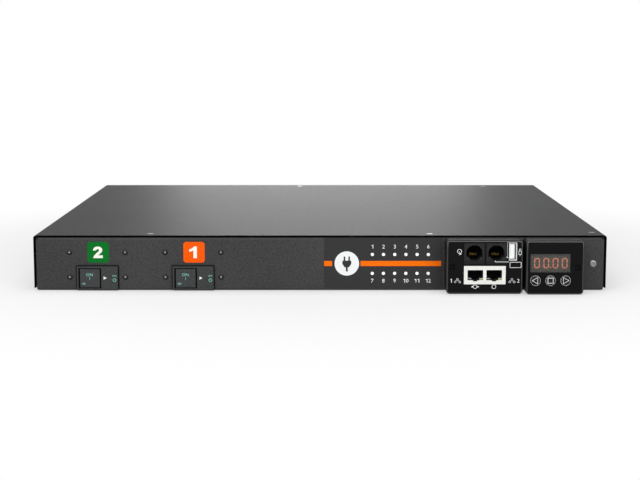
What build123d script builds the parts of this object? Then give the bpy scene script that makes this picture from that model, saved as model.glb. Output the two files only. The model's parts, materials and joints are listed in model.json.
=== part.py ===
from build123d import *
import os

# Rack power distribution unit, one rack unit high, with two breakers, twelve outlets and two modules.
# X runs to the right as seen from the front, Y to the back and Z up.
# The origin is the centre of the flat underside. All sizes are in millimetres.

# Folded steel housing
unit_width = 440.0
unit_depth = 381.0
unit_height = 42.7
steel = 1.2
bend = 0.8
cover_gap = 0.8
cover_lift = 2.0
return_depth = 24.0
relief = 0.6
screw_radius = 1.2
screw_fit = 0.1
screw_reach = 3.0

# Cover screws: distance from the front or rear, and from an end of the unit or from the modules
screw_inset = 10.5
corner_screw_inset = 18.0
corner_screw_end = 8.5
left_screw_end = 88.7
module_screw_gap = 11.0
rear_screw_ends = [240.5, 54.4]

# Threaded holes for rack ears, four near each end of both sides
ear_hole_radius = 1.65
ear_clearance_radius = 2.3
ear_spacing_y = 24.0
ear_spacing_z = 22.0
ear_inset = 44.0
ear_height = 21.0

# Breakers
breaker_end = 48.9
breaker_pitch = 73.6
breaker_height = 9.85
bezel_width = 32.8
bezel_height = 19.3
bezel_corner = 1.3
bezel_base = 0.9
bezel_proud = 2.4
bezel_ledge = 0.6
bezel_fit = 0.15
bezel_rim_x = 1.6
bezel_rim_z = 1.2
window_width = 16.9
window_height = 15.3
window_shift = -5.7
paddle_gap = 0.45
paddle_recess = 0.25
paddle_thickness = 1.7
hub_radius = 1.4
hub_window_gap = 0.25
pivot_radius = 0.65
pivot_fit = 0.05
pivot_length = 0.75
tail_width = 2.0
tail_length = 6.2
tail_room = 2.2
case_width = 36.0
case_depth = 48.0
case_fillet = 1.2
seam_depth = 0.5
seam_width = 0.8
terminal_radius = 2.5
terminal_length = 12.0
terminal_nut = 8.0
terminal_nut_depth = 4.0
terminal_pitch = 22.0

# Sheet brackets that hold the breakers, and their rivets
bracket_sheet = 1.0
bracket_edge = 3.6
bracket_height = 34.0
bracket_floor_gap = 0.1
shelf_width = 32.0
shelf_depth = 38.0
shelf_fit = 0.1
rivet_gap = 5.0
rivet_pitch_z = 19.3
rivet_height = 20.05
rivet_head_radius = 2.1
rivet_head_depth = 0.95
rivet_dome = 0.7
rivet_radius = 1.3
rivet_fit = 0.1
rivet_tail_radius = 1.8
rivet_tail_depth = 0.8

# Stickers and the status overlay
badge_width = 16.4
badge_height = 16.1
badge_corner = 2.3
badge_shift = 0.8
badge_centre = 29.7
film = 0.25
overlay_width = 90.6
overlay_gap = 2.0
overlay_low = 2.1
overlay_high = 40.9

# Status lamps
lamp_pitch = 8.6
lamp_inset = 32.1
lamp_rows = {"upper": 28.0, "lower": 13.3}
lamp_radius = 1.2
lamp_fit = 0.1
lamp_proud = 0.15
pipe_bar_height = 5.0
pipe_bar_depth = 3.0
pipe_foot = 3.0
pipe_end_room = 1.0
led_width = 2.0
led_height = 1.4
led_depth = 0.8
board = 1.6
status_board_margin = 2.0

# Grey screw at the right of the front
side_screw_end = 10.3
side_screw_z = 20.9
side_screw_head_radius = 2.8
side_screw_head_depth = 1.5
side_screw_dome = 0.7
side_screw_radius = 1.5
side_screw_fit = 0.1
side_screw_tail = 3.0

# Module housings: outside edges, then the neck behind the panel
comm_left_room = 13.3
comm_right_room = 4.65
comm_reach = 17.0
module_gap = 2.3
display_width = 43.6
display_end = 20.5
display_reach = 19.5
module_low = 0.2
module_high = 41.3
module_corner = 2.8
module_edge = 0.5
module_wall = 2.0
shell_wall = 1.5
neck_wall = 1.5
neck_inset = 1.3
neck_fit = 0.1
neck_tail = 14.0
label_inset = 1.1
label_corner = 1.2
label_fit = 0.15
latch_width = 4.4
latch_height = 4.5
latch_depth = 1.4
latch_inset = 4.6

# Cradle that carries both modules
cradle_sheet = 1.0
cradle_depth = 30.0
cradle_height = 34.0
cradle_tab = 16.0
cradle_tab_height = 12.0

# Sensor jacks
sensor_width = 15.4
sensor_height = 16.0
sensor_gap = 1.3
sensor_centre = 31.1
sensor_mouth_width = 12.4
sensor_mouth_middle = 3.0
sensor_mouth_rise = 0.5
sensor_mouth_arch = 6.1
sensor_step_width = 8.4
sensor_step_height = 1.6
sensor_notch_width = 5.6
sensor_notch_height = 1.2
sensor_pin_count = 6
sensor_pin_start = 5.2
sensor_pin_drop = 9.3
sensor_pin_front = 6.7
jack_depth = 15.0
jack_mouth_depth = 12.0
pin_width = 0.5
pin_thickness = 0.4
pin_pitch = 1.02
pin_back_gap = 0.3

# Double network jack
network_width = 31.6
network_height = 14.0
network_shift = 0.15
network_centre_z = 14.7
network_pin_count = 8
network_pin_drop = 1.5
network_pin_front = 2.5
network_pitch = 14.3
network_mouth_width = 11.8
network_mouth_height = 6.3
network_mouth_top = 3.1
network_notch_width = 6.4
network_notch_height = 1.6
network_key_width = 3.2
network_key_height = 0.8
light_width = 2.7
light_height = 1.3
light_depth = 1.0
light_pitch = 9.2

# Upright USB port
usb_width = 5.9
usb_height = 13.6
usb_wall = 0.4
usb_gap = 1.85
usb_z = 32.75
usb_depth = 14.5
usb_tongue_width = 3.6
usb_tongue_height = 11.2
usb_tongue_side = 0.2
usb_tongue_recess = 1.0

# Display, its window and its keys
glass_shift = -3.6
window_z = 24.2
glass_width = 30.2
glass_height = 14.1
glass_fit = 0.1
digit_block_depth = 6.5
display_board_width = 37.0
display_board_height = 34.0
key_shift = -3.3
key_gap = 1.6
key_z = 10.9
key_radius = 4.0
key_fit = 0.3
key_flange_radius = 4.9
key_flange = 0.8
key_stem_radius = 1.5
key_travel = 0.4
key_stop_gap = 0.05
key_edge = 0.12
switch_size = 6.0
switch_height = 3.0
switch_plunger_radius = 1.7
switch_plunger_height = 0.6

# Rear outlet banks
outlet_pitch = 24.2
bank_left_end = 86.9
bank_right_end = 40.9
bank_least_gap = 10.0
bank_z = 20.9
island_width = 16.3
island_height = 24.0
island_cut = 4.6
channel = 3.1
channel_depth = 15.5
bank_margin = 1.6
bank_depth = 24.0
bank_lip = 1.7
bank_lip_depth = 1.6
bank_lip_edge = 0.5
bank_corner = 1.5
bank_fit = 0.2
slot_long = 5.0
slot_short = 2.5
slot_offset = 7.0
earth_offset = 4.0
slot_mouth = 1.6
contact_room = 0.8
contact_fit = 0.15
contact_leaf = 0.5
contact_length = 14.0
bar_height = 4.0
bar_depth = 2.0

# Cord gland and earth stud
gland_end = 32.0
gland_z = 20.9
gland_hex = 34.0
gland_hex_depth = 7.0
gland_thread_radius = 15.8
gland_thread_out = 14.0
gland_thread_in = 10.0
gland_bore_radius = 11.0
gland_fit = 0.2
gland_cap_length = 22.0
gland_cap_hex_depth = 10.0
gland_dome = 3.5
gland_mouth_radius = 10.4
gland_wall = 2.2
seal_bore_radius = 9.2
seal_length = 10.0
locknut_hex = 36.0
locknut_depth = 5.0
stud_end = 68.0
stud_z = 14.0
stud_radius = 2.5
stud_out = 14.0
stud_in = 3.0
stud_head_radius = 4.5
stud_nut = 8.0
stud_nut_depth = 4.0
stud_fit = 0.15
stud_groove = 0.6
stud_groove_radius = 2.2

# Inside
standoff_height = 6.0
standoff_radius = 3.0
standoff_head = 1.0
standoff_pin_radius = 1.5
relay_board_left_end = 70.0
relay_board_right_end = 46.0
relay_board_rear_gap = 38.5
relay_board_depth = 116.0
board_edge = 8.0
relay_width = 12.7
relay_depth = 29.0
relay_height = 15.7
relay_rear_gap = 6.0
sensor_ring_radius = 13.0
sensor_ring_bore = 7.0
sensor_ring_depth = 11.0
sensor_ring_inset = 40.0
sensor_ring_pitch = 50.0
sensor_ring_y_inset = 26.0
supply_width = 58.0
supply_depth = 38.0
supply_height = 22.0
supply_x_inset = 74.0
supply_y_inset = 28.0
supply_edge = 1.6
terminal_block_width = 44.0
terminal_block_depth = 26.0
terminal_block_height = 24.0
terminal_block_rear_gap = 72.5
terminal_poles = 3
terminal_pole_pitch = 13.0
terminal_well = 8.0
ribbon_width = 26.0
ribbon_thickness = 0.9
ribbon_bend = 4.0
ribbon_radius = 3.0

# Values that follow from the sizes above
left_end = -unit_width / 2
right_end = unit_width / 2
front = -unit_depth / 2
rear = unit_depth / 2
outer_bend = bend + steel
tray_width = unit_width - 2 * (steel + cover_gap)
tray_height = unit_height - steel
panel_back = front + steel
screw_head_radius = screw_radius + steel
breaker_places = {1: left_end + breaker_end + breaker_pitch, 2: left_end + breaker_end}
neck_width = bezel_width - 2 * bezel_rim_x
neck_height = bezel_height - 2 * bezel_rim_z
rivet_pitch_x = bezel_width + 2 * rivet_gap
bracket_width = rivet_pitch_x + 2 * bracket_edge
display_right = right_end - display_end
display_left = display_right - display_width
display_middle = (display_left + display_right) / 2
comm_right = display_left - module_gap
usb_x = comm_right - comm_right_room - usb_width / 2
sensor_places = {
    1: usb_x - usb_width / 2 - usb_gap - 1.5 * sensor_width - sensor_gap,
    2: usb_x - usb_width / 2 - usb_gap - 0.5 * sensor_width,
}
comm_left = sensor_places[1] - sensor_width / 2 - comm_left_room
network_centre_x = (comm_left + comm_right) / 2 + network_shift
window_x = display_middle + glass_shift
key_middle = display_middle + key_shift
key_pitch = 2 * key_flange_radius + key_gap
key_places = {"left": key_middle - key_pitch, "select": key_middle, "right": key_middle + key_pitch}
overlay_right = comm_left - overlay_gap
overlay_left = overlay_right - overlay_width
side_screw_x = right_end - side_screw_end
gland_x = left_end + gland_end
stud_x = left_end + stud_end
neck_low = steel + cradle_sheet + neck_fit
neck_high = module_high - neck_inset
pivot_shift = window_shift + window_width / 2 - hub_radius - hub_window_gap
pivot_y = front - bezel_proud + paddle_recess + hub_radius
case_front = panel_back + bracket_sheet
case_height = 2 * (breaker_height - steel)
board_floor = steel + standoff_height
board_top = board_floor + board
comm_face = front - comm_reach
display_face = front - display_reach
jack_face = comm_face - film
comm_board_front = jack_face + jack_depth
display_board_front = display_face + module_wall + digit_block_depth
bank_room = (unit_width - bank_left_end - bank_right_end - bank_least_gap) / 2
outlet_count = int((bank_room - 2 * bank_lip - bank_margin) / outlet_pitch)
bank_width = outlet_count * outlet_pitch + bank_margin
bank_places = {
    1: left_end + bank_left_end + bank_width / 2 + bank_lip,
    2: right_end - bank_right_end - bank_width / 2 - bank_lip,
}
lamp_count = outlet_count
lamp_middle = overlay_right - lamp_inset
lamp_span = (lamp_count - 1) * lamp_pitch + 2 * lamp_radius
relay_board_left = left_end + relay_board_left_end
relay_board_right = right_end - relay_board_right_end
relay_board_rear = rear - relay_board_rear_gap
relay_board_front = relay_board_rear - relay_board_depth
sensor_ring_places = [relay_board_left + sensor_ring_inset + step * sensor_ring_pitch for step in (0, 1)]
sensor_ring_y = relay_board_front + sensor_ring_y_inset
supply_x = relay_board_right - supply_x_inset
supply_y = relay_board_front + supply_y_inset
terminal_block_y = rear - terminal_block_rear_gap
bank_height = island_height + 2 * (channel + bank_margin)
bank_back = rear - bank_depth


def upright(y):
    """Plane square to Y: sketch x is X, sketch y is Z, and a positive extrude comes forward."""
    return Plane.XZ.offset(-y)


def keep(builder, node):
    """Label a finished piece and write its file."""
    builder.part.label = node
    export_step(builder.part, f"parts/{node}.step")


def outlet_outline(margin):
    """Keyed outline of an outlet's island, grown by a margin, with its earth side towards +X."""
    half_w = island_width / 2 + margin
    half_h = island_height / 2 + margin
    cut = island_cut + margin * (2 - 2**0.5)
    return [
        (-half_w, -half_h),
        (half_w - cut, -half_h),
        (half_w, -half_h + cut),
        (half_w, half_h - cut),
        (half_w - cut, half_h),
        (-half_w, half_h),
    ]


def cover_screw_places():
    """All cover screws, as X and Y of the unit."""
    places = [(left_end + left_screw_end, front + screw_inset)]
    places.append((comm_left - module_screw_gap, front + screw_inset))
    places.append((right_end - corner_screw_end, front + corner_screw_inset))
    places += [(right_end - inset, rear - screw_inset) for inset in rear_screw_ends]
    return places


def ear_hole_middles():
    """Middles of the groups of threaded holes, as Y and Z."""
    return [(front + ear_inset, ear_height), (rear - ear_inset, ear_height)]


# Base tray: floor, both panels with their top returns, and side flanges, folded from one sheet
with BuildPart() as base_tray:
    Box(tray_width, unit_depth, tray_height, align=(Align.CENTER, Align.CENTER, Align.MIN))
    fillet(base_tray.edges().group_by(Axis.Z)[0], outer_bend)
    offset(amount=-steel, openings=base_tray.faces().sort_by(Axis.Z)[-1])
    # Panel tops come off where the bent returns begin
    with Locations((0, 0, tray_height)):
        with GridLocations(0, unit_depth - steel, 1, 2):
            Box(
                tray_width,
                steel,
                outer_bend,
                align=(Align.CENTER, Align.CENTER, Align.MAX),
                mode=Mode.SUBTRACT,
            )
    return_width = tray_width - 2 * (steel + relief)
    with BuildSketch(Plane.YZ.offset(-return_width / 2)):
        with Locations((0, tray_height / 2)):
            RectangleRounded(unit_depth, tray_height, outer_bend)
            RectangleRounded(unit_depth - 2 * steel, tray_height - 2 * steel, bend, mode=Mode.SUBTRACT)
        with Locations((0, -outer_bend)):
            Rectangle(unit_depth, 2 * tray_height, mode=Mode.SUBTRACT)
        with Locations((0, tray_height)):
            Rectangle(unit_depth - 2 * return_depth, 2 * outer_bend, mode=Mode.SUBTRACT)
    extrude(amount=return_width)
    # Corner slits part the panels from the side flanges
    with Locations((0, 0, outer_bend + steel)):
        with GridLocations(tray_width - steel, unit_depth - 2 * steel - relief, 2, 2):
            Box(
                steel,
                relief,
                tray_height,
                align=(Align.CENTER, Align.CENTER, Align.MIN),
                mode=Mode.SUBTRACT,
            )
    # Front panel cut-outs
    with BuildSketch(upright(front)):
        for x in breaker_places.values():
            with Locations((x, breaker_height)):
                Rectangle(neck_width + 2 * bezel_fit, neck_height + 2 * bezel_fit)
            with Locations((x, rivet_height)):
                with GridLocations(rivet_pitch_x, rivet_pitch_z, 2, 2):
                    Circle(rivet_radius + rivet_fit)
        for z in lamp_rows.values():
            with Locations((lamp_middle, z)):
                SlotOverall(lamp_span + 2 * lamp_fit, 2 * (lamp_radius + lamp_fit))
        for left, right in ((comm_left, comm_right), (display_left, display_right)):
            with Locations(((left + right) / 2, (neck_low + neck_high) / 2)):
                Rectangle(
                    right - left - 2 * neck_inset + 2 * neck_fit,
                    neck_high - neck_low + 2 * neck_fit,
                )
        with Locations((side_screw_x, side_screw_z)):
            Circle(side_screw_radius + side_screw_fit)
    extrude(amount=-steel - relief, mode=Mode.SUBTRACT)
    # Rear panel cut-outs
    with BuildSketch(upright(rear)):
        for x in bank_places.values():
            with Locations((x, bank_z)):
                Rectangle(bank_width + 2 * bank_fit, bank_height + 2 * bank_fit)
        with Locations((gland_x, gland_z)):
            Circle(gland_thread_radius + gland_fit)
        with Locations((stud_x, stud_z)):
            Circle(stud_radius + stud_fit)
    extrude(amount=steel + relief, mode=Mode.SUBTRACT)
    # Pilot holes in the returns, and the tapped holes of the sides
    with BuildSketch(Plane.XY.offset(tray_height)):
        with Locations(*cover_screw_places()):
            Circle(screw_radius + screw_fit)
    extrude(amount=-outer_bend, mode=Mode.SUBTRACT)
    for y, z in ear_hole_middles():
        with BuildSketch(Plane.YZ.offset(-tray_width)):
            with Locations((y, z)):
                with GridLocations(ear_spacing_y, ear_spacing_z, 2, 2):
                    Circle(ear_hole_radius)
        extrude(amount=2 * tray_width, mode=Mode.SUBTRACT)
keep(base_tray, "base_tray")

# Top cover: top and sides, folded from one sheet, with countersunk screw holes
with BuildPart() as top_cover:
    with BuildSketch(upright(rear)):
        with Locations((0, cover_lift)):
            Rectangle(unit_width, unit_height - cover_lift, align=(Align.CENTER, Align.MIN))
            Rectangle(
                unit_width - 2 * steel,
                tray_height - cover_lift,
                align=(Align.CENTER, Align.MIN),
                mode=Mode.SUBTRACT,
            )
    extrude(amount=unit_depth)
    fillet(top_cover.edges().filter_by(Axis.Y).group_by(Axis.Z)[-1], outer_bend)
    fillet(top_cover.edges().filter_by(Axis.Y).group_by(Axis.Z)[-2], bend)
    with Locations(*[(x, y, unit_height) for x, y in cover_screw_places()]):
        CounterSinkHole(screw_radius + screw_fit, screw_head_radius + screw_fit, 2 * steel, 90)
    for y, z in ear_hole_middles():
        with BuildSketch(Plane.YZ.offset(-unit_width)):
            with Locations((y, z)):
                with GridLocations(ear_spacing_y, ear_spacing_z, 2, 2):
                    Circle(ear_clearance_radius)
        extrude(amount=2 * unit_width, mode=Mode.SUBTRACT)
keep(top_cover, "top_cover")

# Countersunk cover screws, flush with the cover and reaching through the returns
with BuildPart() as cover_screws:
    for x, y in cover_screw_places():
        with BuildSketch(Plane.XZ.offset(-y)):
            with BuildLine():
                Polyline(
                    (x, unit_height),
                    (x + screw_head_radius, unit_height),
                    (x + screw_radius, tray_height),
                    (x + screw_radius, tray_height - screw_reach),
                    (x, tray_height - screw_reach),
                    close=True,
                )
            make_face()
        revolve(axis=Axis((x, y, 0), (0, 0, 1)))
keep(cover_screws, "cover_screws")


def make_bracket(x):
    """Sheet bracket behind the panel: a plate round the breaker's neck and a shelf over its case."""
    with BuildPart() as bracket:
        low = outer_bend + bracket_floor_gap
        with BuildSketch(upright(panel_back)):
            with Locations((x, low)):
                Rectangle(bracket_width, bracket_height, align=(Align.CENTER, Align.MIN))
            with Locations((x, breaker_height)):
                Rectangle(neck_width + 2 * bezel_fit, neck_height + 2 * bezel_fit, mode=Mode.SUBTRACT)
            with Locations((x, rivet_height)):
                with GridLocations(rivet_pitch_x, rivet_pitch_z, 2, 2):
                    Circle(rivet_radius + rivet_fit, mode=Mode.SUBTRACT)
        extrude(amount=-bracket_sheet)
        shelf_low = steel + case_height + shelf_fit
        with Locations((x, case_front, shelf_low)):
            Box(shelf_width, shelf_depth, bracket_sheet, align=(Align.CENTER, Align.MIN, Align.MIN))
    return bracket


def make_case(x):
    """Moulded breaker case behind the panel, with a pocket for the rocker's tail."""
    with BuildPart() as case:
        with BuildSketch(upright(case_front)):
            with Locations((x, steel + case_height / 2)):
                Rectangle(case_width, case_height)
        extrude(amount=-case_depth)
        fillet(case.faces().sort_by(Axis.Y)[-1].edges(), case_fillet)
        # Joint line between the two halves of the moulding
        with Locations((x, case_front + case_depth, steel + case_height / 2)):
            Box(
                case_width,
                2 * seam_depth,
                seam_width,
                mode=Mode.SUBTRACT,
            )
        with BuildSketch(upright(case_front)):
            with Locations((x + pivot_shift - tail_room / 2, breaker_height)):
                Rectangle(tail_width + 2 * tail_room, window_height)
        extrude(amount=-tail_length, mode=Mode.SUBTRACT)
    return case


def make_bezel(x):
    """Front bezel of a breaker: a ledge on the panel, a raised face, and a neck through the panel."""
    with BuildPart() as bezel:
        with BuildSketch(upright(front)):
            with Locations((x, breaker_height)):
                RectangleRounded(bezel_width, bezel_height, bezel_corner)
        extrude(amount=bezel_base)
        with BuildSketch(upright(front - bezel_base)):
            with Locations((x, breaker_height)):
                RectangleRounded(
                    bezel_width - 2 * bezel_ledge,
                    bezel_height - 2 * bezel_ledge,
                    bezel_corner - bezel_ledge,
                )
        extrude(amount=bezel_proud - bezel_base)
        chamfer(bezel.faces().sort_by(Axis.Y)[0].edges(), bezel_ledge / 2)
        with BuildSketch(upright(front)):
            with Locations((x, breaker_height)):
                Rectangle(neck_width, neck_height)
        extrude(amount=front - case_front)
        with BuildSketch(upright(front - bezel_proud)):
            with Locations((x + window_shift, breaker_height)):
                Rectangle(window_width, window_height)
        extrude(amount=front - bezel_proud - case_front, mode=Mode.SUBTRACT)
        with Locations((x + pivot_shift, pivot_y, breaker_height)):
            Cylinder(
                pivot_radius + pivot_fit,
                window_height + 2 * (pivot_length + pivot_fit),
                mode=Mode.SUBTRACT,
            )
    return bezel


def make_rocker(x):
    """Flat paddle with a round hub, two pivot pins and a tail that reaches into the case."""
    paddle_height = window_height - 2 * paddle_gap
    paddle_length = pivot_shift - window_shift + window_width / 2 - paddle_gap
    with BuildPart() as rocker:
        with BuildSketch(Plane.XY.offset(breaker_height - paddle_height / 2)):
            with Locations((x + pivot_shift, pivot_y)):
                Circle(hub_radius)
                with Locations((0, -hub_radius)):
                    Rectangle(paddle_length, paddle_thickness, align=(Align.MAX, Align.MIN))
                Rectangle(tail_width, tail_length, align=(Align.CENTER, Align.MIN))
        extrude(amount=paddle_height)
        fillet(rocker.edges().filter_by(Axis.Z).group_by(Axis.X)[0], paddle_gap)
        with Locations((x + pivot_shift, pivot_y, breaker_height)):
            Cylinder(pivot_radius, window_height + 2 * pivot_length)
    return rocker


for number, x in breaker_places.items():
    keep(make_bracket(x), f"breaker_{number}_bracket")
    keep(make_case(x), f"breaker_{number}_case")
    keep(make_bezel(x), f"breaker_{number}_bezel")
    keep(make_rocker(x), f"breaker_{number}_rocker")

# Terminal studs with their nuts, two at the back of each breaker case
with BuildPart() as breaker_terminals:
    case_back = case_front + case_depth
    with BuildSketch(upright(case_back)):
        for x in breaker_places.values():
            with Locations((x, steel + case_height / 2)):
                with GridLocations(terminal_pitch, 0, 2, 1):
                    RegularPolygon(terminal_nut / 2, 6, major_radius=False)
    extrude(amount=-terminal_nut_depth)
    with BuildSketch(upright(case_back)):
        for x in breaker_places.values():
            with Locations((x, steel + case_height / 2)):
                with GridLocations(terminal_pitch, 0, 2, 1):
                    Circle(terminal_radius)
    extrude(amount=-terminal_length)
keep(breaker_terminals, "breaker_terminals")

# Dome rivets through the panel and the breaker brackets
with BuildPart() as bracket_rivets:
    for plane_y, radius, reach in (
        (front, rivet_head_radius, rivet_head_depth),
        (case_front, rivet_radius, case_front - front),
        (case_front + rivet_tail_depth, rivet_tail_radius, rivet_tail_depth),
    ):
        with BuildSketch(upright(plane_y)):
            for x in breaker_places.values():
                with Locations((x, rivet_height)):
                    with GridLocations(rivet_pitch_x, rivet_pitch_z, 2, 2):
                        Circle(radius)
        extrude(amount=reach)
    chamfer(bracket_rivets.faces().group_by(Axis.Y)[0].edges(), rivet_dome)
keep(bracket_rivets, "bracket_rivets")

# Square number stickers above the breakers
for number, x in breaker_places.items():
    with BuildPart() as badge:
        with BuildSketch(upright(front)):
            with Locations((x + badge_shift, badge_centre)):
                RectangleRounded(badge_width, badge_height, badge_corner)
        extrude(amount=film)
    keep(badge, f"badge_{number}")

# Printed film over the lamps
with BuildPart() as status_overlay:
    with BuildSketch(upright(front)):
        with Locations((overlay_left, overlay_low)):
            Rectangle(
                overlay_right - overlay_left,
                overlay_high - overlay_low,
                align=(Align.MIN, Align.MIN),
            )
        for z in lamp_rows.values():
            with Locations((lamp_middle, z)):
                with GridLocations(lamp_pitch, 0, lamp_count, 1):
                    Circle(lamp_radius + lamp_fit, mode=Mode.SUBTRACT)
    extrude(amount=film)
keep(status_overlay, "status_overlay")

# Light pipes: one bar of six clear pegs behind each row of holes, with a foot at each end
pipe_bar_length = lamp_span + 2 * (pipe_foot + pipe_end_room)
status_board_front = panel_back + pipe_bar_depth + led_depth
for row, z in lamp_rows.items():
    with BuildPart() as light_pipe:
        with BuildSketch(upright(panel_back)):
            with Locations((lamp_middle, z)):
                Rectangle(pipe_bar_length, pipe_bar_height)
        extrude(amount=-pipe_bar_depth)
        with BuildSketch(upright(panel_back)):
            with Locations((lamp_middle, z)):
                with GridLocations(lamp_pitch, 0, lamp_count, 1):
                    Circle(lamp_radius)
        extrude(amount=steel + film + lamp_proud)
        with BuildSketch(upright(panel_back + pipe_bar_depth)):
            with Locations((lamp_middle, z)):
                with GridLocations(pipe_bar_length - pipe_foot, 0, 2, 1):
                    Rectangle(pipe_foot, pipe_bar_height)
        extrude(amount=-led_depth)
    keep(light_pipe, f"light_pipe_{row}")

with BuildPart() as status_leds:
    with BuildSketch(upright(status_board_front)):
        for z in lamp_rows.values():
            with Locations((lamp_middle, z)):
                with GridLocations(lamp_pitch, 0, lamp_count, 1):
                    Rectangle(led_width, led_height)
    extrude(amount=led_depth)
keep(status_leds, "status_leds")

with BuildPart() as status_board:
    rows_middle = (lamp_rows["upper"] + lamp_rows["lower"]) / 2
    rows_apart = lamp_rows["upper"] - lamp_rows["lower"]
    with BuildSketch(upright(status_board_front)):
        with Locations((lamp_middle, rows_middle)):
            Rectangle(
                pipe_bar_length + 2 * status_board_margin,
                rows_apart + pipe_bar_height + 2 * status_board_margin,
            )
    extrude(amount=-board)
keep(status_board, "status_board")

# Grey screw that fastens the cradle's tab to the panel
with BuildPart() as side_screw:
    with BuildSketch(upright(front)):
        with Locations((side_screw_x, side_screw_z)):
            Circle(side_screw_head_radius)
    extrude(amount=side_screw_head_depth)
    chamfer(side_screw.faces().sort_by(Axis.Y)[0].edges(), side_screw_dome)
    with BuildSketch(upright(front)):
        with Locations((side_screw_x, side_screw_z)):
            Circle(side_screw_radius)
    extrude(amount=-steel - cradle_sheet - side_screw_tail)
keep(side_screw, "side_screw")

# Cradle behind the panel: floor, two walls, and a tab that the grey screw holds
with BuildPart() as module_cradle:
    cradle_left = comm_left + neck_inset - neck_fit - cradle_sheet
    cradle_right = display_right - neck_inset + neck_fit + cradle_sheet
    with BuildSketch(upright(panel_back)):
        with Locations((cradle_left, steel)):
            Rectangle(cradle_right - cradle_left, cradle_height, align=(Align.MIN, Align.MIN))
        with Locations((cradle_left + cradle_sheet, steel + cradle_sheet)):
            Rectangle(
                cradle_right - cradle_left - 2 * cradle_sheet,
                cradle_height,
                align=(Align.MIN, Align.MIN),
                mode=Mode.SUBTRACT,
            )
    extrude(amount=-cradle_depth)
    with BuildSketch(upright(panel_back)):
        with Locations((cradle_right, side_screw_z)):
            Rectangle(cradle_tab, cradle_tab_height, align=(Align.MIN, Align.CENTER))
        with Locations((side_screw_x, side_screw_z)):
            Circle(side_screw_radius + side_screw_fit, mode=Mode.SUBTRACT)
    extrude(amount=-cradle_sheet)
    chamfer(module_cradle.edges().filter_by(Axis.X).group_by(Axis.Z)[0].sort_by(Axis.Y)[0], bend)
keep(module_cradle, "module_cradle")


def module_shell(left, right, reach):
    """Moulded module housing: a wide body before the panel and a narrower neck behind it, open at the back."""
    middle = (left + right) / 2
    neck_width_out = right - left - 2 * neck_inset
    neck_middle = (neck_low + neck_high) / 2
    with BuildPart() as shell:
        with BuildSketch(upright(front)):
            with Locations((middle, (module_low + module_high) / 2)):
                RectangleRounded(right - left, module_high - module_low, module_corner)
        extrude(amount=reach)
        chamfer(shell.faces().sort_by(Axis.Y)[0].edges(), module_edge)
        with BuildSketch(upright(front)):
            with Locations((middle, neck_middle)):
                Rectangle(neck_width_out, neck_high - neck_low)
        extrude(amount=-neck_tail)
        with BuildSketch(upright(front + neck_tail)):
            with Locations((middle, neck_middle)):
                Rectangle(neck_width_out - 2 * neck_wall, neck_high - neck_low - 2 * neck_wall)
        extrude(amount=neck_tail + shell_wall, mode=Mode.SUBTRACT)
        with BuildSketch(upright(front - shell_wall)):
            with Locations((middle, (module_low + module_high) / 2)):
                RectangleRounded(
                    right - left - 2 * shell_wall,
                    module_high - module_low - 2 * shell_wall,
                    module_corner - shell_wall,
                )
        extrude(amount=reach - module_wall - shell_wall, mode=Mode.SUBTRACT)
    return shell


def label_sketch(left, right):
    """Rounded outline of a module's label, on the current sketch plane."""
    with Locations(((left + right) / 2, (module_low + module_high) / 2)):
        RectangleRounded(
            right - left - 2 * label_inset,
            module_high - module_low - 2 * label_inset,
            label_corner,
        )


def comm_cutouts(fit):
    """Holes for the jacks and the USB port, on the current sketch plane."""
    for x in sensor_places.values():
        with Locations((x, sensor_centre)):
            Rectangle(sensor_width + 2 * fit, sensor_height + 2 * fit)
    with Locations((network_centre_x, network_centre_z)):
        Rectangle(network_width + 2 * fit, network_height + 2 * fit)
    with Locations((usb_x, usb_z)):
        Rectangle(usb_width + 2 * fit, usb_height + 2 * fit)


def display_cutouts(glass_gap, key_gap):
    """Holes for the glass and the keys, on the current sketch plane."""
    with Locations((window_x, window_z)):
        Rectangle(glass_width + 2 * glass_gap, glass_height + 2 * glass_gap)
    for x in key_places.values():
        with Locations((x, key_z)):
            Circle(key_radius + key_gap)


latch_places = {
    "comm": (comm_left + latch_inset, (module_low + module_high) / 2),
    "display": (display_right - latch_inset, (module_low + module_high) / 2),
}

# Communication module: housing, label and board
comm_shell = module_shell(comm_left, comm_right, comm_reach)
with BuildPart() as comm_housing:
    add(comm_shell.part)
    with BuildSketch(upright(comm_face)):
        comm_cutouts(label_fit)
    extrude(amount=-module_wall, mode=Mode.SUBTRACT)
    with BuildSketch(upright(comm_face)):
        with Locations(latch_places["comm"]):
            Rectangle(latch_width, latch_height)
    extrude(amount=-latch_depth, mode=Mode.SUBTRACT)
keep(comm_housing, "comm_housing")

with BuildPart() as comm_label:
    with BuildSketch(upright(comm_face)):
        label_sketch(comm_left, comm_right)
    extrude(amount=film)
    with BuildSketch(upright(comm_face)):
        comm_cutouts(label_fit)
        with Locations(latch_places["comm"]):
            Rectangle(latch_width, latch_height)
    extrude(amount=film, mode=Mode.SUBTRACT)
keep(comm_label, "comm_label")

with BuildPart() as comm_board:
    with BuildSketch(upright(comm_board_front)):
        with Locations(((comm_left + comm_right) / 2, (neck_low + neck_high) / 2)):
            Rectangle(
                comm_right - comm_left - 2 * (neck_inset + neck_wall + neck_fit),
                neck_high - neck_low - 2 * (neck_wall + neck_fit),
            )
    extrude(amount=-board)
keep(comm_board, "comm_board")


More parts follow.
